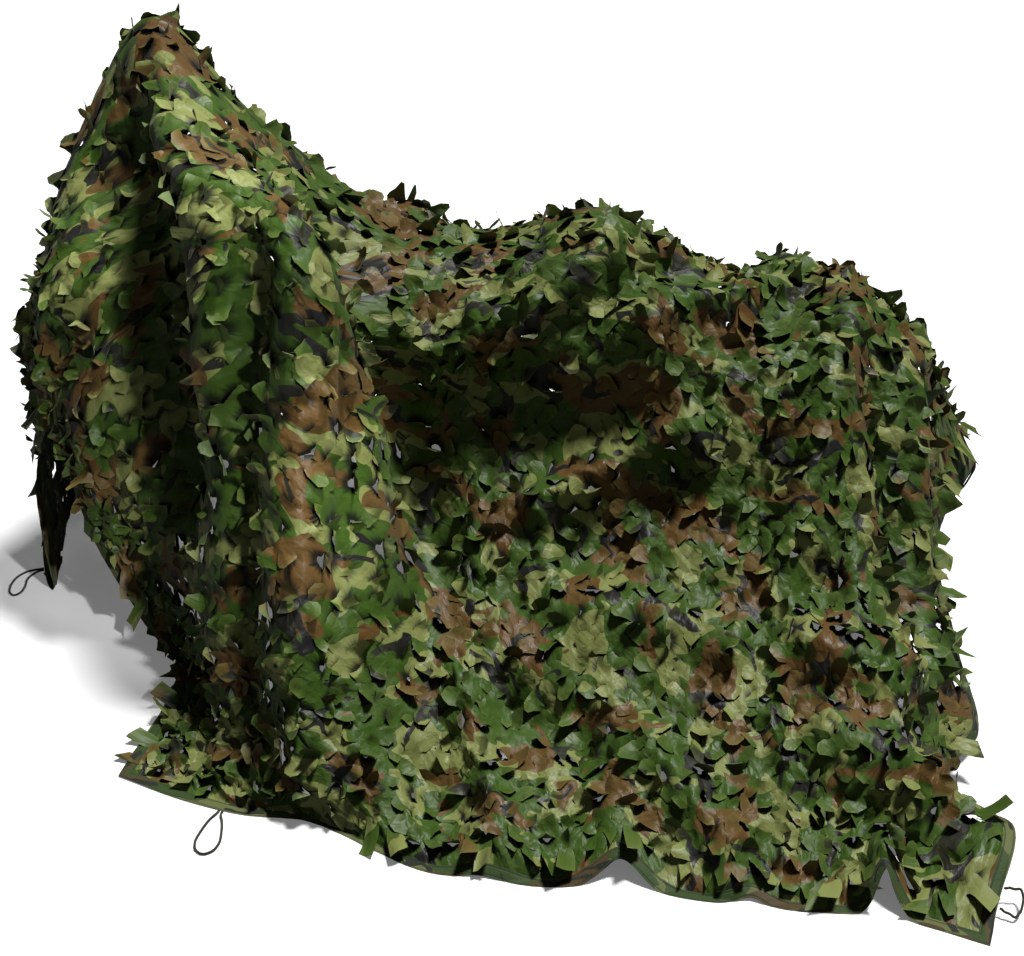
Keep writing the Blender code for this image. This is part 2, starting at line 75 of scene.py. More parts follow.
# Cross sections of the drape, front to rear. "along" is the share of the
# cloth's length. Each point is (x, y, z); the heights at a hem are 0 where it
# lies on the floor.
Section = namedtuple(
    "Section", "along near_hem near_foot near_waist near_shoulder ridge "
    "far_shoulder far_waist far_foot far_hem")
ACROSS = (-1.0, -0.74, -0.48, -0.24, 0.0, 0.22, 0.44, 0.72, 1.0)
SECTIONS = (
    # over the front wheel
    Section(0.00, (-0.51, -0.70, 0), (-0.455, -0.37, 0), (-0.565, -0.20, 0.07),
            (-0.68, -0.14, 0.29), (-0.76, -0.04, 0.47), (-0.83, 0.06, 0.34),
            (-0.82, 0.03, 0.01), (-0.89, 0.40, 0), (-0.74, 0.76, 0)),
    Section(0.10, (-0.39, -0.765, 0), (-0.39, -0.46, 0.05), (-0.54, -0.20, 0.24),
            (-0.70, -0.12, 0.52), (-0.78, 0.03, 0.67), (-0.82, 0.14, 0.60),
            (-0.80, 0.25, 0.32), (-0.74, 0.54, 0.10), (-0.58, 0.83, 0)),
    Section(0.20, (-0.26, -0.815, 0), (-0.33, -0.60, 0.18), (-0.44, -0.32, 0.50),
            (-0.55, -0.20, 0.82), (-0.66, 0.03, 0.95), (-0.725, 0.27, 0.97),
            (-0.66, 0.44, 0.68), (-0.54, 0.68, 0.25), (-0.38, 0.88, 0)),
    # over the handlebar, which is turned towards -Y
    Section(0.28, (-0.15, -0.84, 0), (-0.22, -0.67, 0.26), (-0.28, -0.45, 0.68),
            (-0.29, -0.34, 1.04), (-0.45, 0.00, 1.18), (-0.535, 0.37, 1.25),
            (-0.46, 0.56, 0.80), (-0.34, 0.75, 0.30), (-0.22, 0.90, 0)),
    Section(0.35, (-0.03, -0.91, 0), (-0.10, -0.72, 0.27), (-0.12, -0.50, 0.66),
            (-0.15, -0.38, 1.02), (-0.25, 0.00, 1.06), (-0.35, 0.33, 1.09),
            (-0.28, 0.52, 0.70), (-0.20, 0.72, 0.26), (-0.10, 0.91, 0)),
    # over the tank and the seat
    Section(0.43, (0.12, -0.995, 0), (0.09, -0.61, 0.18), (0.07, -0.31, 0.50),
            (0.02, -0.26, 0.79), (-0.03, 0.00, 0.90), (-0.05, 0.26, 0.86),
            (-0.02, 0.44, 0.56), (0.02, 0.67, 0.20), (0.07, 0.92, 0)),
    Section(0.52, (0.29, -1.025, 0), (0.25, -0.66, 0.17), (0.22, -0.31, 0.44),
            (0.20, -0.22, 0.77), (0.19, 0.00, 0.87), (0.17, 0.22, 0.80),
            (0.20, 0.40, 0.50), (0.23, 0.65, 0.18), (0.25, 0.92, 0)),
    Section(0.62, (0.49, -1.045, 0), (0.47, -0.68, 0.20), (0.46, -0.34, 0.46),
            (0.45, -0.22, 0.80), (0.45, 0.00, 0.92), (0.44, 0.22, 0.83),
            (0.46, 0.40, 0.50), (0.46, 0.65, 0.18), (0.45, 0.92, 0)),
    Section(0.74, (0.69, -1.085, 0), (0.72, -0.72, 0.21), (0.74, -0.42, 0.44),
            (0.74, -0.24, 0.70), (0.74, 0.00, 0.78), (0.74, 0.23, 0.70),
            (0.74, 0.40, 0.46), (0.72, 0.65, 0.18), (0.70, 0.92, 0)),
    # over the tail
    Section(0.86, (0.88, -1.105, 0), (0.94, -0.78, 0.21), (0.97, -0.46, 0.42),
            (1.01, -0.24, 0.66), (1.02, 0.00, 0.77), (1.03, 0.23, 0.66),
            (1.00, 0.40, 0.40), (0.98, 0.65, 0.16), (0.95, 0.92, 0)),
    Section(0.94, (1.01, -1.135, 0), (1.07, -0.76, 0.14), (1.09, -0.44, 0.28),
            (1.12, -0.22, 0.50), (1.18, 0.00, 0.58), (1.18, 0.19, 0.50),
            (1.16, 0.40, 0.26), (1.13, 0.66, 0.08), (1.09, 0.92, 0)),
    Section(1.00, (1.095, -1.175, 0), (1.20, -0.66, 0.05), (1.19, -0.40, 0.14),
            (1.185, -0.20, 0.28), (1.29, 0.00, 0.365), (1.30, 0.18, 0.28),
            (1.28, 0.40, 0.06), (1.24, 0.66, 0), (1.20, 0.91, 0)),
)

# Folds, each a soft ridge (+ lift) or trough (- lift) along a straight run of
# the cloth. The ends are (along, across); width and fade are in metres.
Fold = namedtuple("Fold", "name start end lift width fade")
FOLDS = (
    Fold("front valley", (0.230, 0.03), (0.185, -0.46), -0.13, 0.095, 0.10),
    Fold("panel ridge", (0.20, 0.00), (0.10, -0.10), 0.03, 0.08, 0.08),
    Fold("panel trough", (0.17, -0.22), (0.09, -0.11), -0.04, 0.055, 0.05),
    Fold("knee ridge", (0.11, -0.28), (0.05, -0.34), 0.02, 0.07, 0.05),
    Fold("grip pleat", (0.262, -0.05), (0.258, -0.40), 0.045, 0.055, 0.12),
    Fold("pleat valley", (0.302, -0.34), (0.27, -0.58), -0.05, 0.05, 0.08),
    Fold("pleat toe", (0.255, -0.66), (0.225, -0.84), -0.035, 0.055, 0.08),
    Fold("grip cone", (0.345, -0.26), (0.305, -0.90), 0.045, 0.085, 0.08),
    Fold("cone groove", (0.375, -0.42), (0.345, -0.80), -0.02, 0.04, 0.08),
    Fold("tank valley", (0.405, -0.10), (0.44, -0.56), -0.08, 0.07, 0.12),
    Fold("seat hollow", (0.50, -0.36), (0.66, -0.44), -0.06, 0.13, 0.08),
    Fold("hollow pit", (0.585, -0.56), (0.62, -0.55), -0.05, 0.07, 0.04),
    Fold("hollow ridge", (0.56, -0.50), (0.69, -0.38), 0.075, 0.05, 0.04),
    Fold("tank crease", (0.46, -0.34), (0.52, -0.22), 0.03, 0.05, 0.05),
    Fold("tank ridge", (0.53, -0.28), (0.62, -0.10), 0.035, 0.05, 0.05),
    Fold("seat bump", (0.60, 0.02), (0.63, -0.06), 0.02, 0.09, 0.06),
    Fold("seat dip", (0.60, -0.26), (0.68, -0.06), -0.035, 0.05, 0.05),
    Fold("seat ridge", (0.65, -0.24), (0.77, -0.02), 0.04, 0.05, 0.05),
    Fold("tail dip", (0.73, -0.22), (0.80, -0.06), -0.02, 0.05, 0.05),
    Fold("tail ridge", (0.83, -0.14), (0.785, -0.52), 0.04, 0.06, 0.10),
    Fold("tail valley", (0.865, -0.26), (0.92, -0.50), -0.045, 0.06, 0.08),
    Fold("rear ridge", (0.91, -0.10), (0.965, -0.60), 0.03, 0.06, 0.10),
    Fold("apron dip one", (0.80, -0.57), (0.82, -0.57), -0.045, 0.06, 0.05),
    Fold("apron ridge one", (0.60, -0.64), (0.72, -0.67), 0.035, 0.06, 0.06),
    Fold("apron ridge two", (0.80, -0.67), (0.92, -0.66), 0.035, 0.06, 0.06),
    Fold("apron dip two", (0.52, -0.76), (0.58, -0.80), -0.04, 0.06, 0.05),
    Fold("apron ridge three", (0.64, -0.82), (0.72, -0.95), 0.045, 0.06, 0.05),
    Fold("apron ridge four", (0.47, -0.74), (0.50, -0.96), 0.03, 0.06, 0.05),
    Fold("apron dip three", (0.42, -0.88), (0.45, -0.93), -0.03, 0.06, 0.05),
    Fold("corner dip", (0.82, -0.875), (0.93, -0.90), -0.035, 0.055, 0.05),
    Fold("corner ridge", (0.82, -0.79), (0.97, -0.82), 0.04, 0.06, 0.05),
    Fold("far grip cone", (0.28, 0.30), (0.25, 0.84), 0.05, 0.09, 0.10),
    Fold("far front valley", (0.17, 0.34), (0.15, 0.70), -0.06, 0.07, 0.10),
    Fold("far front ridge", (0.10, 0.22), (0.07, 0.60), 0.04, 0.07, 0.10),
    Fold("far tank valley", (0.37, 0.26), (0.36, 0.80), -0.06, 0.08, 0.12),
    Fold("far tank ridge", (0.46, 0.20), (0.45, 0.78), 0.04, 0.07, 0.10),
    Fold("far seat swag", (0.52, 0.34), (0.68, 0.44), -0.05, 0.08, 0.06),
    Fold("far apron ridge one", (0.56, 0.52), (0.58, 0.90), 0.045, 0.07, 0.08),
    Fold("far apron valley", (0.65, 0.50), (0.66, 0.86), -0.04, 0.07, 0.08),
    Fold("far tail ridge", (0.79, 0.16), (0.75, 0.82), 0.045, 0.07, 0.10),
    Fold("far tail valley", (0.86, 0.26), (0.86, 0.74), -0.045, 0.07, 0.08),
    Fold("far rear ridge", (0.93, 0.16), (0.94, 0.74), 0.04, 0.06, 0.08),
)

# Places where a hem lifts off the floor between two lobes, or is drawn in.
# "at" is the share along that hem, measured as in the sections; lift is
# upwards, tuck is inwards, width along the hem and reach into the cloth.
Arch = namedtuple("Arch", "hem at lift tuck width reach")
ARCHES = (
    Arch("near", 0.470, 0.015, 0.015, 0.060, 0.14),
    Arch("near", 0.605, 0.052, 0.045, 0.062, 0.18),
    Arch("near", 0.745, 0.020, 0.020, 0.050, 0.14),
    Arch("near", 0.897, 0.075, 0.060, 0.040, 0.16),
    Arch("far", 0.220, 0.035, 0.040, 0.060, 0.16),
    Arch("far", 0.400, 0.040, 0.040, 0.060, 0.16),
    Arch("far", 0.640, 0.045, 0.045, 0.060, 0.16),
    Arch("far", 0.830, 0.040, 0.040, 0.060, 0.16),
    Arch("front", 0.700, 0.030, 0.030, 0.060, 0.14),
    Arch("rear", -0.800, 0.020, 0.080, 0.055, 0.12),
    Arch("rear", -0.910, 0.065, -0.040, 0.050, 0.12),
    Arch("rear", 0.640, 0.030, 0.040, 0.070, 0.14),
)
HEM_CROWDING = 0.68          # share of its full length that a hem spans
SIDE_HEMS, END_HEMS = ("near", "far"), ("front", "rear")
HEMS = SIDE_HEMS + END_HEMS
INWARD = {"near": (0, 1), "far": (0, -1), "front": (1, 0), "rear": (-1, 0)}

# Tie loops. "at" is the share along the hem, reach and width are the loop's
# size, feet is the distance between its two sewn ends and gap is what lies
# between them and the binding. Over its first stretch, "turn" long, a loop
# swings aside and droops by these degrees.
Loop = namedtuple("Loop", "name hem at reach width feet gap turn swing droop")
LOOPS = (
    Loop("tie_loop_near_front", "near", 0.165, 0.135, 0.046, 0.008, 0.0004, 0.03, 14.0, 0.0),
    Loop("tie_loop_near_rear", "rear", -0.965, 0.038, 0.060, 0.044, 0.0009, 0.03, 0.0, 0.0),
    Loop("tie_loop_rear", "rear", 0.060, 0.090, 0.030, 0.008, 0.0008, 0.03, 0.0, 55.0),
    Loop("tie_loop_front", "front", 0.524, 0.140, 0.034, 0.008, 0.0006, 0.08, -75.0, 0.0),
    Loop("tie_loop_far_rear", "far", 0.930, 0.125, 0.046, 0.008, 0.0006, 0.03, 8.0, 0.0),
)

# ---- the fine cloth ----------------------------------------------------------
LEAF_COLUMNS = 60            # places for leaves along the cloth
LEAF_ROWS = 66               # and across it
LEAF_STEPS = 7               # mesh steps along a side of one place
STEPS_LONG = LEAF_COLUMNS * LEAF_STEPS
STEPS_WIDE = LEAF_ROWS * LEAF_STEPS
CLOTH_STEPS = np.array((STEPS_LONG, STEPS_WIDE))
STEP = CLOTH_LENGTH / STEPS_LONG
HEM_STEPS = 2                # uncut steps along a hem
HEM_LIFT = math.radians(7)   # least angle of a leaf that hangs over the binding
BARE_HEM = 0.32              # share of the near hem, from the front, with its binding in view
STRAY_SHARE = 0.15           # leaves that break the regular change of direction
TIP_STEPS = 2                # from the middle of a leaf's place to its tip
HEM_MARGIN = 10              # steps from a corner to the first leaf at a hem
HEM_PITCH = 8                # and from one leaf to the next
BARE_SKIPPED = 0.7           # share of the hem leaves that the bare part goes without
PANELS = ("net_front", "net_middle", "net_rear")

# Small folds of the cloth, from large to small. "share" is their part of the
# crumple height. They are lower where the drape is stretched.
Crumple = namedtuple("Crumple", "size share seed")
CRUMPLES = (Crumple(0.15, 1.0, 5), Crumple(0.075, 0.6, 6), Crumple(0.04, 0.45, 7))
NOISE_START = (1, 3)         # keeps the noise clear of negative places
CRUMPLE_BEND = 0.02          # how far the folds wander off straight lines
BEND_SEED = 20               # added to a fold's seed for that
TAUT_STRETCH = 1.15          # stretch of the drape at which its folds are pulled out
LEAST_SLACK, MOST_SLACK = 0.15, 0.6
FULL_SLACK = 0.4             # slack at which the folds have their full height
FLAT_EDGE = 0.03             # width along the hems over which the folds fade

# How a leaf is bent. Angles are shares of the mean lift unless they say otherwise.
RISING_LIFT = 1.1            # extra lift of a leaf that points up a steep side
HANGING_DROP = 0.1           # lift that is lost where the cloth hangs
STEEP_FROM, STEEP_SPAN = 0.45, 0.35   # steepness at which the cloth begins to hang
START_MEAN, START_SPREAD = 0.62, 0.42          # angle at the root
START_LEAST, START_MOST = 0.10, 1.5
CURL_MEAN, CURL_SPREAD = 0.50, 0.75   # further angle up to the tip
LEAST_CURL = 0.05            # radians
MOST_ANGLE = 1.0             # radians at the tip, before a leaf rolls over
ROLLED_CURL = 1.0            # radians that rolling over adds
TWIST_SPREAD = 0.55          # slope of a leaf's twist, and of its crease
CREASE_OFFSET = 0.006        # metres that a crease lies off the middle
ROOT_GROWTH = 2.2            # how soon beyond its root a leaf has its full bend
LIP_LEAST, LIP_SPREAD = 0.6, 0.8      # share of the lip depth, and what chance adds
UNDER_LEAST, UNDER_SPREAD = 0.8, 0.4  # and the same for the overlap
PILLOW_PASSES = 3            # times that the sunken cuts are smoothed
LEAF_FLOOR = 0.001           # least height of the leaf cloth over the floor
ROUNDING = 1e-6              # in mesh steps, for places on an outline or a hinge

# Leaf outlines, each cut from its first point to its last in mesh steps and
# left whole between those two. The tip lies towards +first; "share" is how
# common the outline is.
Cut = namedtuple("Cut", "name outline share")
CUTS = (
    Cut("rounded", ((-4, -2), (-2, -2), (0, 0), (-2, 2), (-4, 2)), 0.10),
    Cut("pointed", ((-4, -3), (-3, -3), (0, 0), (-3, 3), (-4, 3)), 0.16),
    Cut("short point", ((-3, -3), (0, 0), (-3, 3)), 0.08),
    Cut("blunt", ((-5, -3), (-2, -3), (0, -1), (0, 1), (-2, 3), (-5, 3)), 0.22),
    Cut("skew", ((-5, -3), (-3, -3), (0, 0), (0, 2), (-1, 3), (-5, 3)), 0.15),
    Cut("skew, turned", ((-5, -3), (-1, -3), (0, -2), (0, 0), (-3, 3), (-5, 3)), 0.15),
    Cut("slant", ((-4, -3), (-3, -3), (0, 0), (0, 2), (-4, 2)), 0.07),
    Cut("slant, turned", ((-4, -2), (0, -2), (0, 0), (-3, 3), (-4, 3)), 0.07),
)
HEM_CUTS = (
    Cut("hem point", ((-5, -3), (-1, 1), (-3, 3)), 0.3),
    Cut("hem flap", ((-6, -3), (0, -3), (0, 2), (-5, 2)), 0.4),
    Cut("hem wedge", ((-5, -4), (-1, 0), (-1, 2), (-3, 4)), 0.3),
)


def hermite_weights(place, knots):
    """Knot index and the four cubic weights at each place."""
    knots = np.asarray(knots, float)
    place = np.clip(place, knots[0], knots[-1])
    index = np.clip(np.searchsorted(knots, place, side="right") - 1, 0, len(knots) - 2)
    step = knots[index + 1] - knots[index]
    t = (place - knots[index]) / step
    start = (1 + 2 * t) * (1 - t) ** 2
    leave = t * (1 - t) ** 2 * step
    end = t * t * (3 - 2 * t)
    arrive = t * t * (t - 1) * step
    return index, start, leave, end, arrive


def knot_slopes(values, knots):
    """Slopes of a smooth curve through values, one for each knot (axis 0)."""
    gaps = np.diff(np.asarray(knots, float)).reshape((-1,) + (1,) * (values.ndim - 1))
    chords = np.diff(values, axis=0) / gaps
    slopes = np.empty_like(values)
    slopes[0] = chords[0]
    slopes[-1] = chords[-1]
    slopes[1:-1] = (chords[:-1] * gaps[1:] + chords[1:] * gaps[:-1]) / (gaps[:-1] + gaps[1:])
    return slopes


def curve_at(places, values, knots, *columns):
    """Points at the places on a smooth curve through values, each in its own column if given."""
    slopes = knot_slopes(values, knots)
    index, *weights = hermite_weights(places, knots)
    here, beyond = (index, *columns), (index + 1, *columns)
    start, leave, end, arrive = (
        weight.reshape((-1,) + (1,) * (values[here].ndim - 1)) for weight in weights)
    return (start * values[here] + leave * slopes[here]
            + end * values[beyond] + arrive * slopes[beyond])


def sections_surface(along, across):
    """Points of the smooth surface through the sections."""
    table = np.array([section[1:] for section in SECTIONS], float).transpose(1, 0, 2)
    rows = curve_at(across, table, ACROSS).transpose(1, 0, 2)
    return curve_at(along, rows, [section.along for section in SECTIONS], np.arange(len(along)))


def surface_normals(surface, along, across, step=0.004):
    """Outward normals of a surface function, from points a short step apart."""
    ahead = surface(np.clip(along + step, 0, 1), across)
    behind = surface(np.clip(along - step, 0, 1), across)
    right = surface(along, np.clip(across + step, -1, 1))
    left = surface(along, np.clip(across - step, -1, 1))
    normals = np.cross(ahead - behind, right - left)
    return normals / np.linalg.norm(normals, axis=1, keepdims=True)


def fold_height(along, across):
    """Sum of the folds at each place of the cloth."""
    height = np.zeros(len(along))
    scale = np.array((CLOTH_LENGTH, CLOTH_HALF_WIDTH))
    place = np.column_stack((along, across)) * scale
    for fold in FOLDS:
        start = np.array(fold.start) * scale
        run = np.array(fold.end) * scale - start
        length = np.linalg.norm(run)
        run /= length
        ahead = (place - start) @ run
        aside = (place - start) @ np.array((-run[1], run[0]))
        beyond = np.maximum(0, np.maximum(-ahead, ahead - length))
        height += fold.lift * np.exp(-(aside / fold.width) ** 2 - (beyond / fold.fade) ** 2)
    return height


def arch_shift(along, across):
    """How far each place moves because a hem is lifted or drawn in."""
    shift = np.zeros((len(along), 3))
    for arch in ARCHES:
        if arch.hem in SIDE_HEMS:
            beside = (along - arch.at) * CLOTH_LENGTH * HEM_CROWDING
            depth = (1 - np.abs(across)) * CLOTH_HALF_WIDTH
            same_side = (across < 0) == (arch.hem == "near")
        else:
            beside = (across - arch.at) * CLOTH_HALF_WIDTH * HEM_CROWDING
            depth = (along if arch.hem == "front" else 1 - along) * CLOTH_LENGTH
            same_side = depth < CLOTH_LENGTH / 2
        share = np.exp(-(beside / arch.width) ** 2 - (depth / arch.reach) ** 2) * same_side
        inward = INWARD[arch.hem]
        shift += share[:, None] * np.array((arch.tuck * inward[0], arch.tuck * inward[1], arch.lift))
    return shift


def drape(along, across):
    """Middle surface of the cloth at (along, across), as arrays."""
    points = sections_surface(along, across)
    points += surface_normals(sections_surface, along, across) * fold_height(along, across)[:, None]
    points += arch_shift(along, across) + np.array(ORIGIN_SHIFT)
    points[:, 2] = np.maximum(points[:, 2], CLOTH_THICKNESS / 2)
    return points


def hem_line(hem, long_steps, wide_steps, inset=0.0):
    """Cloth coordinates along one hem, or a little further in."""
    if hem in SIDE_HEMS:
        along = np.linspace(0, 1, long_steps + 1)
        return along, np.full_like(along, (1 - inset) * (-1 if hem == "near" else 1))
    across = np.linspace(-1, 1, wide_steps + 1)
    return np.full_like(across, inset if hem == "front" else 1 - inset), across


def unit(vectors):
    return vectors / np.linalg.norm(vectors, axis=-1, keepdims=True)


def hem_frame(hem):
    """Points of a hem with its outward, lengthwise and normal directions."""
    along, across = hem_line(hem, CELLS_LONG, CELLS_WIDE)
    edge = drape(along, across)
    inner = drape(*hem_line(hem, CELLS_LONG, CELLS_WIDE, inset=0.01))
    tangent = unit(np.gradient(edge, axis=0))
    outward = edge - inner
    outward -= (outward * tangent).sum(axis=1, keepdims=True) * tangent
    normals = surface_normals(drape, along, across)
    outward = unit(outward - (outward * normals).sum(axis=1, keepdims=True) * normals)
    return edge, outward, tangent, normals


def mitre(outward, neighbour_outward):
    """Way out along the mitred joint of two strips that meet at a corner."""
    return (outward + neighbour_outward) / (1 + outward @ neighbour_outward)


def run_lengths(line):
    """Length of a line from its start to each of its points."""
    return np.concatenate(((0,), np.cumsum(np.linalg.norm(np.diff(line, axis=0), axis=1))))


def smooth_route(points, count):
    """Evenly spaced points on a smooth curve through a few."""
    points = np.array(points, float)
    knots = run_lengths(points)
    return curve_at(np.linspace(0, knots[-1], count), points, knots)


def loop_outline(loop):
    """Route of a tie loop as (out, aside) from the middle of its two sewn ends."""
    feet = loop.feet / 2
    width = loop.width / 2
    shape = ((0.00, feet), (0.06, feet), (0.24, feet + (width - feet) * 0.45),
             (0.50, width * 0.88), (0.76, width), (0.93, width * 0.66))
    going = [(loop.reach * out, aside) for out, aside in shape]
    coming = [(out, -aside) for out, aside in reversed(going)]
    return smooth_route(going + [(loop.reach, 0.0)] + coming, CORD_POINTS)


def bend(reach, degrees, turn):
    """Where a cord gets to, ahead and aside, as it turns over its first stretch."""
    if degrees == 0:
        return reach, 0.0
    angle = math.radians(degrees)
    turned = angle * min(1.0, reach / turn)
    beyond = max(0.0, reach - turn)
    ahead = math.sin(turned) * turn / angle + beyond * math.cos(angle)
    aside = (1 - math.cos(turned)) * turn / angle + beyond * math.sin(angle)
    return ahead, aside


def loop_route(loop):
    """Points of a tie loop's cord, from one sewn end to the other."""
    edge, outward, tangent = hem_frame(loop.hem)[:3]
    share = loop.at if loop.hem in SIDE_HEMS else (loop.at + 1) / 2
    place = share * (len(edge) - 1)
    low = int(place)
    foot, out, aside = ((1 - place + low) * line[low] + (place - low) * line[low + 1]
                        for line in (edge, outward, tangent))
    if foot[2] < CORD_DIAMETER:
        out[2] = 0
        aside[2] = 0
    out = unit(out)
    aside = unit(aside - (aside @ out) * out)
    down = np.array((0, 0, -1.0))
    down = unit(down - (down @ out) * out)
    start = foot + out * (SEAM_GAP + BINDING_WIDTH + loop.gap)
    route = []
    for reach, side in loop_outline(loop):
        ahead, swung = bend(reach, loop.swing, loop.turn)
        turned = math.radians(loop.swing) * min(1.0, reach / loop.turn)
        ahead -= side * math.sin(turned)
        swung += side * math.cos(turned)
        ahead, dropped = bend(ahead, loop.droop, loop.turn)
        point = start + out * ahead + aside * swung + down * dropped
        point[2] = max(point[2], CORD_DIAMETER / 2 + SEAM_GAP)
        route.append(tuple(point))
    return route


def grid_normals(points):
    """Outward normals of a grid of points."""
    return unit(np.cross(np.gradient(points, axis=0), np.gradient(points, axis=1)))


def cloth_noise(u, v, size, seed):
    """Smooth noise from -1 to 1 over the cloth, in bumps about size metres across."""
    x = (u + NOISE_START[0]) / size
    y = (v + NOISE_START[1]) / size
    lattice = np.random.RandomState(seed).uniform(-1, 1, (int(x.max()) + 2, int(y.max()) + 2))
    i, j = x.astype(int), y.astype(int)
    s, t = x - i, y - j
    s, t = s * s * (3 - 2 * s), t * t * (3 - 2 * t)
    return ((lattice[i, j] * (1 - s) + lattice[i + 1, j] * s) * (1 - t)
            + (lattice[i, j + 1] * (1 - s) + lattice[i + 1, j + 1] * s) * t)


def crumpled(points, along, across, depth):
    """The drape with the small folds of loose, springy cloth."""
    u, v = np.meshgrid(along * CLOTH_LENGTH, across * CLOTH_HALF_WIDTH, indexing="ij")
    stretch = np.linalg.norm(np.gradient(points, axis=0), axis=2) / STEP
    slack = np.clip(TAUT_STRETCH - stretch, LEAST_SLACK, MOST_SLACK) / FULL_SLACK
    height = np.zeros(u.shape)
    for fold in CRUMPLES:
        wander = CRUMPLE_BEND * cloth_noise(u, v, fold.size, fold.seed + BEND_SEED)
        noise = cloth_noise(u + wander, v, fold.size, fold.seed)
        height += fold.share * (1 - 2 * np.abs(noise))
    edge = np.minimum(np.minimum(u, CLOTH_LENGTH - u), CLOTH_HALF_WIDTH - np.abs(v))
    height *= depth * slack * np.clip(edge / FLAT_EDGE, 0, 1)
    points = points + grid_normals(points) * height[..., None]
    points[..., 2] = np.maximum(points[..., 2], CLOTH_THICKNESS / 2)
    return points


def grid_faces():
    """Triangles by column, row, half and corner, with diagonals that cross at every other point."""
    i, j = np.meshgrid(np.arange(STEPS_LONG), np.arange(STEPS_WIDE), indexing="ij")
    a = i * (STEPS_WIDE + 1) + j
    b = a + STEPS_WIDE + 1
    c, d = b + 1, a + 1
    even = ((i + j) % 2 == 0)[..., None]
    lower = np.where(even, np.stack((a, b, c), -1), np.stack((a, b, d), -1))
    upper = np.where(even, np.stack((a, c, d), -1), np.stack((b, c, d), -1))
    return np.stack((lower, upper), axis=2)


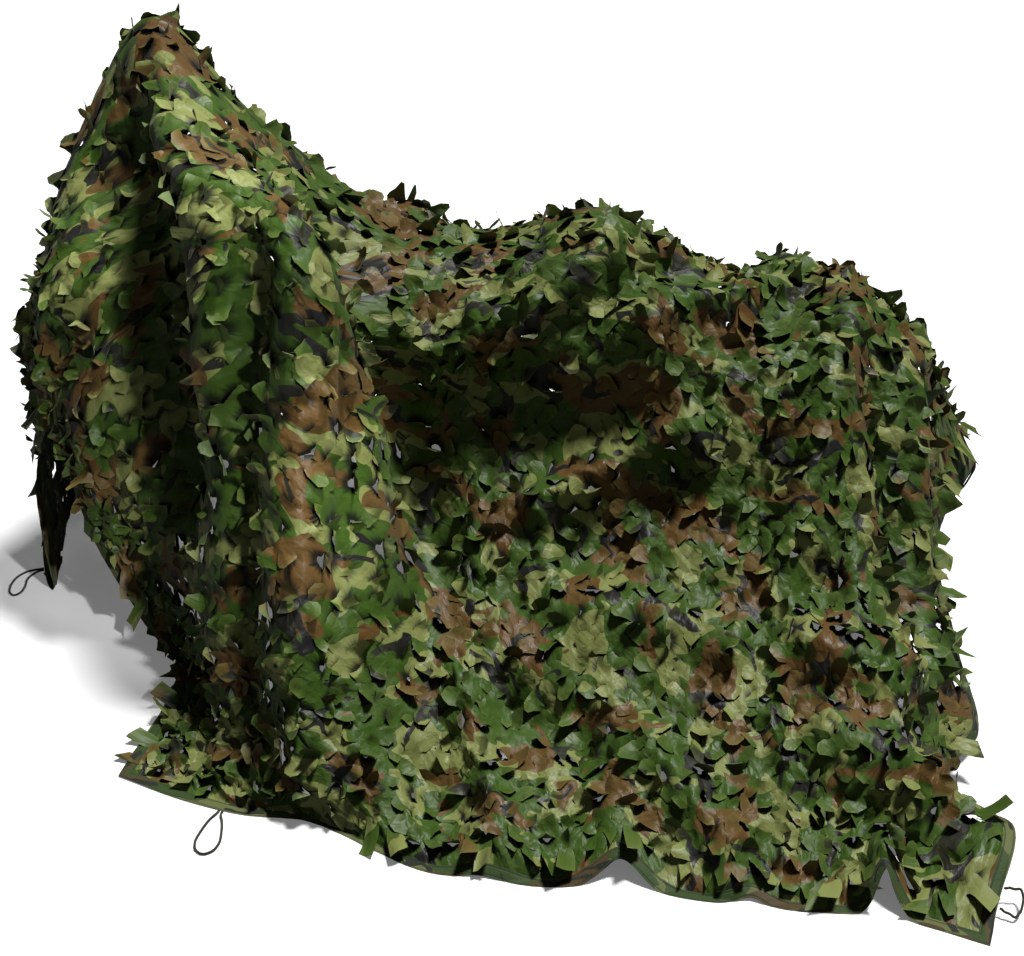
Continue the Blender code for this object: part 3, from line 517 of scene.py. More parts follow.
class LeafCuts:
    """Cuts leaves into the cloth's mesh and bends them off its surface."""

    def __init__(self, points, settings):
        self.settings = settings
        self.chance = np.random.RandomState(settings.seed)
        self.cuts = [cut for cut in self.layout() if cut is not None]
        self.points = self.pillowed(points)
        self.normals = grid_normals(self.points)
        self.faces = grid_faces()
        self.width = STEPS_WIDE + 1
        self.middles = np.stack(np.divmod(self.faces, self.width), axis=-1).mean(axis=3)
        self.moved = self.points.reshape(-1, 3).copy()
        # Per point: painted highlight towards leaf tips and along cut edges, and -1 for painted shade
        # where the cloth's edge is pressed under a leaf.
        self.leaf = np.zeros(len(self.moved))
        self.extra = []
        self.extra_source = []
        self.extra_leaf = []

    def layout(self):
        """Outline of each cut in mesh steps, row by row in columns, then along the hems."""
        for column in range(1, LEAF_COLUMNS - 1):
            for row in range(1, LEAF_ROWS - 1):
                turned = (column + row + (self.chance.rand() < STRAY_SHARE)) % 2
                ahead = np.roll((1, 0), turned) * self.chance.choice((-1, 1))
                tip = LEAF_STEPS * np.array((column, row)) + LEAF_STEPS // 2 + TIP_STEPS * ahead
                yield self.place_cut(CUTS, tip, ahead, np.abs(ahead[::-1]))
        for hem in HEMS:
            out = -np.array(INWARD[hem])
            beside = np.abs(out[::-1])
            first = np.abs(out) * HEM_STEPS if out.sum() < 0 else out * (CLOTH_STEPS - HEM_STEPS)
            count = CLOTH_STEPS @ beside
            for place in range(HEM_MARGIN, count - HEM_MARGIN, HEM_PITCH):
                if hem == "near" and place < BARE_HEM * count and self.chance.rand() < BARE_SKIPPED:
                    continue
                yield self.place_cut(HEM_CUTS, first + place * beside, out, beside)

    def place_cut(self, kinds, tip, ahead, aside):
        """A leaf of a chosen outline with its tip about here, or None where the cloth ends."""
        outline = kinds[self.chance.choice(len(kinds), p=[cut.share for cut in kinds])].outline
        tip = tip + self.chance.randint(-1, 2, 2)
        tip = np.clip(tip, HEM_STEPS, CLOTH_STEPS - HEM_STEPS)
        parity = sum(outline[1]) % 2
        tip = tip + aside * ((tip.sum() + parity) % 2)
        points = np.array([tip + ahead * step[0] + aside * step[1] for step in outline])
        if points.min() < HEM_STEPS or (points > CLOTH_STEPS - HEM_STEPS).any():
            return None
        return points

    @staticmethod
    def cut_line(points):
        """Every mesh point along a cut."""
        line = [points[0]]
        for start, end in zip(points[:-1], points[1:]):
            count = np.abs(end - start).max()
            line += [start + (end - start) * k // count for k in range(1, count + 1)]
        return [tuple(place) for place in line]

    @staticmethod
    def within(places, points, closed):
        """How far each place lies inside the leaf, as the least of its distances from the sides."""
        ring = list(zip(points[:-1], points[1:]))
        if closed:
            ring.append((points[-1], points[0]))
        middle = points.mean(axis=0)
        least = np.full(places.shape[:-1], np.inf)
        for start, end in ring:
            across = np.array((start[1] - end[1], end[0] - start[0])) / np.linalg.norm(end - start)
            across = across * np.sign((middle - start) @ across)
            least = np.minimum(least, (places - start) @ across)
        return least

    def pillowed(self, points):
        """The cloth sunk softly along its cuts, which leaves it full between them."""
        sunk = np.zeros(points.shape[:2])
        for points_cut in self.cuts:
            for place in self.cut_line(points_cut)[1:-1]:
                sunk[place] = 1.0
        for turn in range(PILLOW_PASSES):
            sunk[1:-1] = (sunk[:-2] + 2 * sunk[1:-1] + sunk[2:]) / 4
            sunk[:, 1:-1] = (sunk[:, :-2] + 2 * sunk[:, 1:-1] + sunk[:, 2:]) / 4
        sunk *= self.settings.pillow_depth / sunk.max()
        return points - grid_normals(points) * sunk[..., None]

    def index(self, place):
        """Number of the mesh point at a place."""
        return place[0] * self.width + place[1]

    def cut_all(self):
        for outline in self.cuts:
            low, high = outline.min(axis=0), outline.max(axis=0)
            own = self.split(outline, low, high)
            self.bend(outline, low, high, own)

    def split(self, outline, low, high):
        """Give the leaf its own points along the cut, and return them by place."""
        around = (slice(low[0] - 1, high[0] + 1), slice(low[1] - 1, high[1] + 1))
        window = self.faces[around]
        inside = (self.within(self.middles[around], outline, False) > 0)[..., None]
        own = {}
        for place in self.cut_line(outline)[1:-1]:
            old = self.index(place)
            hit = inside & (window == old)
            if not hit.any():
                continue
            own[place] = len(self.extra)
            window[hit] = len(self.moved) + len(self.extra)
            self.extra.append(self.points[place])
            self.extra_source.append(old)
            self.extra_leaf.append(0.0)
        return own

    def bend(self, outline, low, high, own):
        """Bend the leaf up about the line between the ends of its cut."""
        hinge = (outline[0] + outline[-1]) / 2
        middle = outline[1:-1].mean(axis=0)
        across = (outline[-1] - outline[0]) / np.linalg.norm(outline[-1] - outline[0])
        axis = np.array((-across[1], across[0]))
        axis *= np.sign((middle - hinge) @ axis)
        tip = hinge + axis * ((outline - hinge) @ axis).max()
        reach = float((tip - hinge) @ axis) * STEP
        places = low + np.indices(high - low + 1).reshape(2, -1).T
        places = places[(self.within(places, outline, False) > -ROUNDING)
                        & (self.within(places, outline, True) > -ROUNDING)
                        & ((places - hinge) @ axis > ROUNDING)]
        ahead = np.maximum((places - hinge) * STEP @ axis, 0)
        aside = (places - hinge) * STEP @ across

        tip = np.round(tip).astype(int)
        root = tuple(np.round(hinge).astype(int))
        normal = self.normals[root]
        forward = self.points[tuple(tip)] - self.points[root]
        forward = unit(forward - (forward @ normal) * normal)
        side = np.cross(normal, forward)
        start, curl = self.lift_angles(forward, normal)
        twist, crease = self.chance.normal(0, TWIST_SPREAD, 2)
        fold = np.abs(aside - self.chance.normal(0, CREASE_OFFSET)) * crease
        full = 1 + self.settings.fullness * ahead / reach
        longer = self.settings.fullness
        if self.past_hem(root, tip):
            longer = self.settings.hem_reach
            start, curl = max(start, HEM_LIFT), max(curl, LEAST_CURL)
        turn = curl / reach * (1 + self.settings.fullness) / (1 + longer)
        angle = start + turn * ahead * (1 + longer * ahead / reach)
        along = (np.sin(angle) - math.sin(start)) / turn
        up = (math.cos(start) - np.cos(angle)) / turn
        old = self.points[places[:, 0], places[:, 1]]
        side = side * np.sign((((old - self.points[root]) @ side) * aside).sum())
        flat = (self.points[root] + forward * along[:, None] + side * (aside * full)[:, None]
                + normal * (up + (twist * aside + fold) * ahead / reach)[:, None])
        grow = np.clip(ahead / reach * ROOT_GROWTH, 0, 1)[:, None]
        new = old + (flat - old) * grow
        # Painted highlight: each leaf grows paler towards its tip by a random amount for that leaf,
        # and its cut edge gets the painted edge highlight on top.
        tip_highlight = self.chance.rand()
        for place, spot, far in zip(map(tuple, places), new, ahead / reach):
            extra = own.get(place)
            if extra is None:
                self.moved[self.index(place)] = spot
                self.leaf[self.index(place)] = tip_highlight * far
            else:
                self.extra[extra] = spot
                self.extra_leaf[extra] = tip_highlight * far + self.settings.painted_edge_highlight
        self.press_lip(own, root)

    def lift_angles(self, forward, normal):
        """Angle at the root and further curl of a leaf, less where the cloth hangs steeply."""
        steep = 1 - abs(normal[2])
        hanging = np.clip((steep - STEEP_FROM) / STEEP_SPAN, 0, 1)
        rising = 1 + RISING_LIFT * max(forward[2] * steep, 0)
        mean = self.settings.leaf_lift * rising * (1 - HANGING_DROP * hanging)
        start = np.clip(self.chance.normal(START_MEAN, START_SPREAD), START_LEAST, START_MOST) * mean
        curl = max(self.chance.normal(CURL_MEAN, CURL_SPREAD) * mean, -start)
        curl = math.copysign(max(abs(curl), LEAST_CURL), curl)
        curl = min(curl, MOST_ANGLE - start)
        if self.chance.rand() < self.settings.curled_share:
            curl += ROLLED_CURL
        return start, curl

    @staticmethod
    def past_hem(root, tip):
        """Whether a leaf hangs out over the binding, as all do but on the near hem's front part."""
        from_root, from_tip = (
            min(*place, *(CLOTH_STEPS - place)) for place in (np.array(root), tip))
        bare = tip[1] <= 2 * HEM_STEPS and tip[0] < BARE_HEM * STEPS_LONG
        return from_tip <= 2 * HEM_STEPS and from_tip < from_root - 1 and not bare

    def press_lip(self, own, root):
        """Push the cloth's own edge along the cut down and under the leaf."""
        depth = self.settings.lip_depth * (LIP_LEAST + LIP_SPREAD * self.chance.rand())
        under = self.settings.overlap * (UNDER_LEAST + UNDER_SPREAD * self.chance.rand())
        for place in own:
            back = self.points[root] - self.points[place]
            self.moved[self.index(place)] += back * under - self.normals[place] * depth
            # Marks the pressed edge for painted shade under the leaf.
            self.leaf[self.index(place)] = -1.0

    def result(self):
        points = np.concatenate((self.moved, np.array(self.extra)))
        leaf = np.concatenate((self.leaf, np.array(self.extra_leaf)))
        source = np.concatenate((np.arange(len(self.moved)), np.array(self.extra_source, int)))
        points[:, 2] = np.maximum(points[:, 2], LEAF_FLOOR)
        return points, source, leaf


def new_mesh(name, points, faces, uv, material):
    """A mesh object at the origin, smooth, with its map and material."""
    mesh = bpy.data.meshes.new(name)
    mesh.from_pydata(points.tolist(), [], faces.tolist())
    mesh.update()
    layer = mesh.uv_layers.new(name="cloth")
    corners = np.empty(len(mesh.loops), int)
    mesh.loops.foreach_get("vertex_index", corners)
    layer.data.foreach_set("uv", uv[corners].ravel())
    mesh.shade_smooth()
    mesh.materials.append(material)
    piece = bpy.data.objects.new(name, mesh)
    bpy.context.collection.objects.link(piece)
    return piece


SMALLEST = 1e-12             # least length that a normal is divided by


def point_normals(points, faces):
    """Area-weighted normals of a mesh's points."""
    corner = points[faces]
    across = np.cross(corner[:, 1] - corner[:, 0], corner[:, 2] - corner[:, 0])
    total = np.zeros(points.shape)
    for k in range(3):
        np.add.at(total, faces[:, k], across)
    length = np.linalg.norm(total, axis=1, keepdims=True)
    return total / np.maximum(length, SMALLEST)


def add_panel(name, number, points, faces, normals, uv, leaf, material):
    """One panel of the cloth as its own piece."""
    share = STEPS_LONG // len(PANELS)
    own = faces[number * share:(number + 1) * share].reshape(-1, 3)
    used, renumbered = np.unique(own, return_inverse=True)
    piece = new_mesh(name, points[used], renumbered.reshape(-1, 3), uv[used], material)
    piece.data.normals_split_custom_set_from_vertices(normals[used].tolist())
    # The leaf attribute carries painted highlight (leaf tips, cut edges) and painted shade (-1 at the
    # pressed edges under leaves).
    attribute = piece.data.attributes.new("leaf", "FLOAT", "POINT")
    attribute.data.foreach_set("value", leaf[used])
    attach(piece, "root")
    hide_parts("net")
    return piece


# ---- binding and cords -------------------------------------------------------
HEM_PANELS = {"near": PANELS, "far": PANELS, "front": PANELS[:1], "rear": PANELS[-1:]}
BINDING_LINES = (0.0, 0.04, 0.10, 0.16, 0.22, 0.36, 0.5, 0.64, 0.78, 0.84, 0.90, 0.96, 1.0)
BINDING_SWELL = (0.2, 0.7, 0.9, 0.55, 1.0, 1.2, 1.25, 1.2, 1.0, 0.55, 1.0, 0.9, 0.3)
BINDING_CREASE = math.radians(50)     # least angle between faces that shows as an edge
Wave = namedtuple("Wave", "size height seed")
BINDING_WAVES = (Wave(0.05, 0.0016, 31), Wave(0.012, 0.0005, 32))
CORD_SIDES = 10
CORD_FINE = 3                # fine points for each point of a cord's route
CORD_SLANT = (0.3, 0.2, 1.0)          # a way in which no cord sets out


# ---- settings ---------------------------------------------------------------
# Limits that several settings have in common.
SHARE = {"min": 0.0, "max": 1.0, "subtype": "FACTOR"}
COLOUR = {"min": 0.0, "max": 1.0, "subtype": "COLOR"}
POWER = {"min": 0.0, "unit": "POWER"}


class ClothSettings(bpy.types.PropertyGroup):
    """Cuts, folds and print of the leaf cloth."""

    seed: IntProperty(
        name="Seed", description="Which of the uneven layouts of leaves is made", default=11, min=0)
    leaf_lift: FloatProperty(
        name="Leaf lift", description="Mean angle by which a leaf stands off the cloth",
        default=math.radians(24), min=0.0, max=math.radians(90), subtype="ANGLE")
    curled_share: FloatProperty(
        name="Curled leaves", description="Share of the leaves that roll right over",
        default=0.07, **SHARE)
    lip_depth: FloatProperty(
        name="Lip depth", description="How far the cloth sinks along a cut",
        default=0.005, min=0.0, max=0.02, unit="LENGTH")
    crumple: FloatProperty(
        name="Crumple", description="Height of the small folds between the main ones",
        default=0.008, min=0.0, max=0.03, unit="LENGTH")
    fullness: FloatProperty(
        name="Fullness", description="How much larger a leaf is than its place in the gathered cloth",
        default=0.12, **SHARE)
    hem_reach: FloatProperty(
        name="Hem reach", description="How much longer than its place a leaf is that hangs over a hem",
        default=1.1, min=0.0, max=2.0, subtype="FACTOR")
    overlap: FloatProperty(
        name="Overlap", description="Share of a leaf's reach by which the cloth runs on under it",
        default=0.62, min=0.0, max=0.9, subtype="FACTOR")
    pillow_depth: FloatProperty(
        name="Pillow depth", description="How far the cloth sinks softly towards its cuts",
        default=0.0030, min=0.0, max=0.02, unit="LENGTH")
    # Painted highlight: how much paler a leaf's cut edge is drawn, standing in for light caught along
    # the edge.
    painted_edge_highlight: FloatProperty(
        name="Pale edge", description="How much paler a leaf's cut edge is",
        default=0.5, **SHARE)
    print_size: FloatProperty(
        name="Print size", description="Width of a typical blotch of the woodland print",
        default=0.10, min=0.02, max=0.5, unit="LENGTH")
    green: FloatVectorProperty(
        name="Green", description="Ground colour of the print",
        default=(0.033, 0.072, 0.006), **COLOUR)
    khaki: FloatVectorProperty(
        name="Khaki", description="Pale blotches of the print",
        default=(0.168, 0.190, 0.056), **COLOUR)
    brown: FloatVectorProperty(
        name="Brown", description="Earth blotches of the print",
        default=(0.095, 0.050, 0.012), **COLOUR)
    charcoal: FloatVectorProperty(
        name="Charcoal", description="Branching dark blotches of the print",
        default=(0.010, 0.009, 0.010), **COLOUR)


class BindingSettings(bpy.types.PropertyGroup):
    """The sewn strip along the hems."""

    thickness: FloatProperty(
        name="Thickness", description="Thickness of the folded strip",
        default=0.0016, min=0.0005, max=0.003, unit="LENGTH")
    stitch_pitch: FloatProperty(
        name="Stitch length", description="Length of one stitch and its gap",
        default=0.004, min=0.001, max=0.02, unit="LENGTH")
    thread: FloatVectorProperty(
        name="Thread", description="Colour of the sewing thread",
        default=(0.035, 0.045, 0.02), **COLOUR)


class CordSettings(bpy.types.PropertyGroup):
    """The braided cord of the tie loops."""

    strand_pitch: FloatProperty(
        name="Braid pitch", description="Length over which a strand goes once round the cord",
        default=0.014, min=0.004, max=0.05, unit="LENGTH")
    colour: FloatVectorProperty(
        name="Cord", description="Colour of the cord",
        default=(0.030, 0.038, 0.016), **COLOUR)


class StageSettings(bpy.types.PropertyGroup):
    """Camera, floor and lights."""

    floor: FloatVectorProperty(
        name="Floor", description="Colour of the floor",
        default=(0.86, 0.86, 0.86), **COLOUR)
    bounce: FloatProperty(
        name="Bounce", description="Share of the floor's brightness that lights the net from below",
        default=0.15, **SHARE)
    lift: FloatProperty(
        name="Lift", description="Light added to the floor as it is seen, which softens its shadow",
        default=0.15, min=0.0, max=1.0)
    top_strength: FloatProperty(
        name="Top light", description="Strength of the broad light from above",
        default=4.6, min=0.0)
    top_spread: FloatProperty(
        name="Spread", description="Angle that the broad light fills, which softens its shadows",
        default=math.radians(10), min=0.0, max=math.radians(180), subtype="ANGLE")
    fill_power: FloatProperty(
        name="Fill light", description="Power of the soft light from the front right",
        default=2.5, **POWER)
    front_power: FloatProperty(
        name="Front light", description="Power of the narrow light on the cloth below the handlebar",
        default=430.0, **POWER)
    high_power: FloatProperty(
        name="High front light",
        description="Power of the narrow light on the cloth over the handlebar",
        default=560.0, **POWER)
    sky: FloatProperty(
        name="Surroundings", description="Brightness of the plain surroundings",
        default=0.04, min=0.0, max=5.0)


def settings(kind):
    return getattr(bpy.context.scene, "camo_net_" + kind)


# ---- shader building ---------------------------------------------------------
NODE_SPACING = 190           # between nodes in the shader editor


class Nodes:
    """Short calls for building a node tree, in the order that values flow."""

    def __init__(self, tree):
        self.tree = tree
        self.column = 0

    def add(self, kind, **values):
        node = self.tree.nodes.new(kind)
        node.location = (self.column, 0)
        self.column += NODE_SPACING
        for name, value in values.items():
            setattr(node, name, value)
        return node

    def join(self, source, target):
        self.tree.links.new(source, target)

    def feed(self, node, number, value):
        """Link a socket, or set a plain value, on one of a node's inputs."""
        if isinstance(value, bpy.types.NodeSocket):
            self.join(value, node.inputs[number])
        else:
            node.inputs[number].default_value = value

    def fed(self, kind, values, **options):
        """A new node with values on its inputs, by their numbers or names."""
        node = self.add(kind, **options)
        for number, value in values.items():
            self.feed(node, number, value)
        return node

    def math(self, operation, *values):
        return self.fed("ShaderNodeMath", dict(enumerate(values)), operation=operation).outputs[0]

    def plus(self, first, second):
        return self.math("ADD", first, second)

    def minus(self, first, second):
        return self.math("SUBTRACT", first, second)

    def times(self, first, second):
        return self.math("MULTIPLY", first, second)

    def away(self, value, middle):
        """How far a value is from a middle one, up or down."""
        return self.math("ABSOLUTE", self.minus(value, middle))

    def waves(self, turns):
        return self.math("SINE", self.times(turns, 2 * math.pi))

    def noise(self, vector, scale, detail=2.0, roughness=0.5, distortion=0.0):
        return self.fed("ShaderNodeTexNoise", {
            "Vector": vector, "Scale": scale, "Detail": detail, "Roughness": roughness,
            "Distortion": distortion}).outputs["Fac"]

    def step(self, value, low, high):
        """0 below low, 1 above high and smooth between them."""
        return self.fed("ShaderNodeMapRange", {"Value": value, "From Min": low, "From Max": high},
                        interpolation_type="SMOOTHSTEP").outputs["Result"]

    def mix(self, share, first, second):
        return self.fed("ShaderNodeMix", {0: share, 6: first, 7: second},
                        data_type="RGBA").outputs[2]

    def tint(self, color, mask, tint):
        """The color, drawn towards a tint by its share where the mask is 1."""
        return self.mix(self.times(mask, tint.share), color, tint.color)

    def bent(self, vector, scale, depth):
        """The vector moved about a little, so that what follows has no straight lines."""
        node = self.fed("ShaderNodeTexNoise", {"Vector": vector, "Scale": scale},
                        noise_dimensions="2D")
        return self.fed("ShaderNodeVectorMath", {
            0: node.outputs["Color"], 1: (depth, depth, 0.0), 2: vector},
            operation="MULTIPLY_ADD").outputs[0]

    def shifted(self, vector, scale, offset):
        return self.fed("ShaderNodeMapping", {
            "Vector": vector, "Scale": scale, "Location": offset}).outputs[0]

    def parts(self, vector):
        return self.fed("ShaderNodeSeparateXYZ", {0: vector}).outputs

    def cloth_map(self):
        return self.add("ShaderNodeUVMap", uv_map="cloth").outputs[0]

    def bump(self, shader, height, strength, distance):
        node = self.fed("ShaderNodeBump", {
            "Strength": strength, "Distance": distance, "Height": height})
        self.join(node.outputs[0], shader.inputs["Normal"])


# Layers of the woodland print: where a layer's noise starts, its detail and
# distortion, and the values between which its blotches begin.
Layer = namedtuple("Layer", "place detail distortion low high")
PALE = Layer((3.1, 1.7, 0), 2.0, 0.35, 0.535, 0.541)
EARTH = Layer((7.3, 5.9, 0), 2.0, 0.45, 0.560, 0.565)
BRANCH = Layer((11.7, 2.3, 0), 1.5, 0.6, 0.034, 0.038)
PATCH = Layer((17.1, 9.4, 0), 1.0, 0.3, 0.545, 0.555)
PRINT_STRETCH = (0.85, 1.1, 1.0)      # makes the blotches longer along the cloth
LARGER_BLOTCHES = 0.8        # scale of the earth and dark layers against the pale one


def woodland_print(nodes, given):
    """Woodland print: green ground, khaki and earth blotches, dark branches."""
    flow = nodes.shifted(given["Vector"], PRINT_STRETCH, (0.0, 0.0, 0.0))
    scale = given["Scale"]
    larger = nodes.times(scale, LARGER_BLOTCHES)

    def noise(layer, size):
        place = nodes.shifted(flow, (1, 1, 1), layer.place)
        return nodes.noise(place, size, layer.detail, distortion=layer.distortion)

    def blotches(layer, value):
        return nodes.step(value, layer.low, layer.high)

    ridge = nodes.away(noise(BRANCH, larger), 0.5)
    branch = nodes.times(nodes.minus(1.0, blotches(BRANCH, ridge)),
                         blotches(PATCH, noise(PATCH, scale)))
    color = nodes.mix(blotches(PALE, noise(PALE, scale)), given["Green"], given["Khaki"])
    color = nodes.mix(blotches(EARTH, noise(EARTH, larger)), color, given["Brown"])
    return {"Color": nodes.mix(branch, color, given["Charcoal"])}


WEAVE_HEIGHT = 0.02          # against the height of a crease
CREASE_SHARPNESS = 6.0       # slope of a crease's sides


def cloth_weave(nodes, given):
    """Fine plain weave with soft folds and sharp creases, as a height and a wear mask."""
    vector = given["Vector"]
    along, across, _ = nodes.parts(vector)
    thread = nodes.times(given["Thread"], 2 * math.pi)
    warp, weft = (nodes.math("SINE", nodes.times(way, thread)) for way in (along, across))
    weave = nodes.times(nodes.times(warp, weft), WEAVE_HEIGHT)
    crease = nodes.noise(vector, given["Crease"], roughness=0.55, distortion=0.8)
    fold = nodes.minus(1.0, nodes.times(nodes.away(crease, 0.5), CREASE_SHARPNESS))
    facet = nodes.fed("ShaderNodeTexVoronoi", {
        "Vector": nodes.bent(vector, scale=30.0, depth=0.012), "Scale": given["Facet"]},
        voronoi_dimensions="2D", distance="CHEBYCHEV").outputs["Distance"]
    height = nodes.plus(nodes.plus(weave, fold), nodes.times(facet, given["Depth"]))
    wear = nodes.noise(vector, scale=14.0, detail=4.0, roughness=0.6)
    return {"Height": height, "Wear": nodes.step(wear, low=0.35, high=0.7)}


THREAD_HALF, THREAD_EDGE = 0.0004, 0.0007     # metres from the middle of a line of stitches
GROOVE_EDGE = 0.002          # the same for the groove that the thread pulls in
STITCH_END, GAP_START = 0.68, 0.78            # shares of the stitch length


def stitch_lines(nodes, given):
    """Two lines of machine stitches along a strip, from its map in metres."""
    along, across, _ = nodes.parts(given["Vector"])
    mirrored = nodes.math("MINIMUM", across, nodes.minus(given["Width"], across))
    away = nodes.away(mirrored, given["Edge"])
    line = nodes.minus(1.0, nodes.step(away, THREAD_HALF, THREAD_EDGE))
    place = nodes.math("FRACT", nodes.math("DIVIDE", along, given["Pitch"]))
    dash = nodes.minus(1.0, nodes.step(place, STITCH_END, GAP_START))
    groove = nodes.minus(1.0, nodes.step(away, THREAD_HALF, GROOVE_EDGE))
    return {"Thread": nodes.times(line, dash), "Groove": groove}


STRANDS = 4.0                # each way round the cord


def cord_braid(nodes, given):
    """Crossing strands of a braided cord, from its map: metres along, turns round."""
    along, around, _ = nodes.parts(given["Vector"])
    ahead = nodes.times(nodes.math("DIVIDE", along, given["Pitch"]), STRANDS)
    around = nodes.times(around, STRANDS)
    height = nodes.math("MAXIMUM", nodes.waves(nodes.plus(ahead, around)),
                        nodes.waves(nodes.minus(ahead, around)))
    # The gap mask is used for painted shade between the strands.
    return {"Height": height, "Gap": nodes.minus(1.0, nodes.step(height, low=-0.2, high=0.6))}


# Inputs of the shader groups: the kind of each socket, or its plain value.
GROUP_INPUTS = {
    woodland_print: {"Vector": "Vector", "Scale": 10.0, "Green": "Color", "Khaki": "Color",
                     "Brown": "Color", "Charcoal": "Color"},
    cloth_weave: {"Vector": "Vector", "Thread": 900.0, "Crease": 24.0, "Facet": 42.0, "Depth": 5.0},
    stitch_lines: {"Vector": "Vector", "Pitch": 0.004, "Edge": 0.004, "Width": 0.025},
    cord_braid: {"Vector": "Vector", "Pitch": 0.014},
}


def new_group(build):
    """A shader group with named sockets, filled by the function that it is named after."""
    tree = bpy.data.node_groups.new(build.__name__, "ShaderNodeTree")
    for name, given in GROUP_INPUTS[build].items():
        kind = given if isinstance(given, str) else "Float"
        socket = tree.interface.new_socket(
            name, in_out="INPUT", socket_type="NodeSocket" + kind)
        if kind == "Float":
            socket.default_value = given
    nodes = Nodes(tree)
    made = build(nodes, nodes.add("NodeGroupInput").outputs)
    for name in made:
        kind = "Color" if name == "Color" else "Float"
        tree.interface.new_socket(name, in_out="OUTPUT", socket_type="NodeSocket" + kind)
    out = nodes.add("NodeGroupOutput")
    for name, value in made.items():
        nodes.join(value, out.inputs[name])
    return tree


def place_group(nodes, build, **values):
    """Outputs of a node of a shared group, which is built when it is first asked for."""
    tree = bpy.data.node_groups.get(build.__name__) or new_group(build)
    return nodes.fed("ShaderNodeGroup", values, node_tree=tree).outputs


def new_material(name, roughness, sheen):
    material = bpy.data.materials.new(name)
    material.use_nodes = True
    shader = material.node_tree.nodes["Principled BSDF"]
    for socket, value in (("Roughness", roughness), ("Metallic", 0.0), ("Specular IOR Level", 0.26),
                          ("Sheen Weight", sheen), ("Sheen Roughness", 0.5)):
        shader.inputs[socket].default_value = value
    return material, Nodes(material.node_tree), shader


def opaque(color):
    return (*color, 1)


def print_colors(nodes, vector):
    cloth = settings("cloth")
    return place_group(
        nodes, woodland_print, Vector=vector, Scale=1.0 / cloth.print_size,
        Green=opaque(cloth.green), Khaki=opaque(cloth.khaki), Brown=opaque(cloth.brown),
        Charcoal=opaque(cloth.charcoal))["Color"]


# What the cloth's colours are drawn towards, and by how much.
Tint = namedtuple("Tint", "color share")
# Painted highlight towards the tips of lifted leaves.
PAINTED_TIP_HIGHLIGHT = Tint((0.21, 0.24, 0.055, 1), 0.22)
WORN_CLOTH = Tint((0.26, 0.29, 0.10, 1), 0.05)
# Painted shade where the cloth's edge is pressed under a leaf.
PAINTED_SHADE_UNDER_LEAF = Tint((0.004, 0.005, 0.003, 1), 0.92)
CLOTH_BACK = Tint((0.16, 0.20, 0.10, 1), 0.35)
# Painted shade in the groove that the stitches pull in.
GROOVE_PAINTED_SHADE = Tint((0.02, 0.025, 0.012, 1), 0.45)
FOLDED_CLOTH = Tint((0.018, 0.026, 0.011, 1), 0.45)
SHADE_FROM, SHADE_FULL = -0.05, -0.75          # of "leaf", -1 at the cloth's pressed edge
LEAST_ROUGHNESS, WEAR_ROUGHNESS = 0.43, 0.16
FOLDED_WEAVE, THREAD_RISE = 0.5, 0.8           # against the depth of a stitch groove
# Painted shade between the strands of the cord.
GAP_PAINTED_SHADE = 0.35              # colour between the strands of the cord against theirs


def leaf_cloth_material():
    material, nodes, shader = new_material("leaf_cloth", roughness=0.6, sheen=0.04)
    uv = nodes.cloth_map()
    color = print_colors(nodes, uv)
    weave = place_group(nodes, cloth_weave, Vector=uv)
    leaf = nodes.add("ShaderNodeAttribute", attribute_name="leaf").outputs["Fac"]
    # Painted highlight on leaf tips and cut edges, from the positive values of the leaf attribute.
    color = nodes.tint(color, nodes.math("MAXIMUM", leaf, 0.0), PAINTED_TIP_HIGHLIGHT)
    color = nodes.tint(color, weave["Wear"], WORN_CLOTH)
    # Painted shade along the cuts, under the leaves.
    color = nodes.tint(color, nodes.step(leaf, SHADE_FROM, SHADE_FULL), PAINTED_SHADE_UNDER_LEAF)
    back = nodes.add("ShaderNodeNewGeometry").outputs["Backfacing"]
    nodes.join(nodes.tint(color, back, CLOTH_BACK), shader.inputs["Base Color"])
    rough = nodes.plus(LEAST_ROUGHNESS, nodes.times(weave["Wear"], WEAR_ROUGHNESS))
    nodes.join(rough, shader.inputs["Roughness"])
    nodes.bump(shader, weave["Height"], strength=0.6, distance=0.0010)
    return material


def binding_material():
    material, nodes, shader = new_material("binding_cloth", roughness=0.65, sheen=0.1)
    uv = nodes.cloth_map()
    binding = settings("binding")
    own_place = nodes.shifted(uv, scale=(1, 1.6, 1), offset=(0.4, 4.0, 0))
    color = print_colors(nodes, own_place)
    stitches = place_group(nodes, stitch_lines, Vector=uv, Pitch=binding.stitch_pitch,
                           Width=BINDING_WIDTH)
    weave = place_group(nodes, cloth_weave, Vector=uv, Crease=90.0, Depth=0.0)
    # Painted shade in the stitch grooves.
    color = nodes.tint(color, stitches["Groove"], GROOVE_PAINTED_SHADE)
    color = nodes.mix(stitches["Thread"], color, opaque(binding.thread))
    color = nodes.mix(FOLDED_CLOTH.share, color, FOLDED_CLOTH.color)
    nodes.join(color, shader.inputs["Base Color"])
    height = nodes.minus(nodes.times(weave["Height"], FOLDED_WEAVE), stitches["Groove"])
    height = nodes.plus(height, nodes.times(stitches["Thread"], THREAD_RISE))
    nodes.bump(shader, height, strength=0.7, distance=0.0008)
    return material


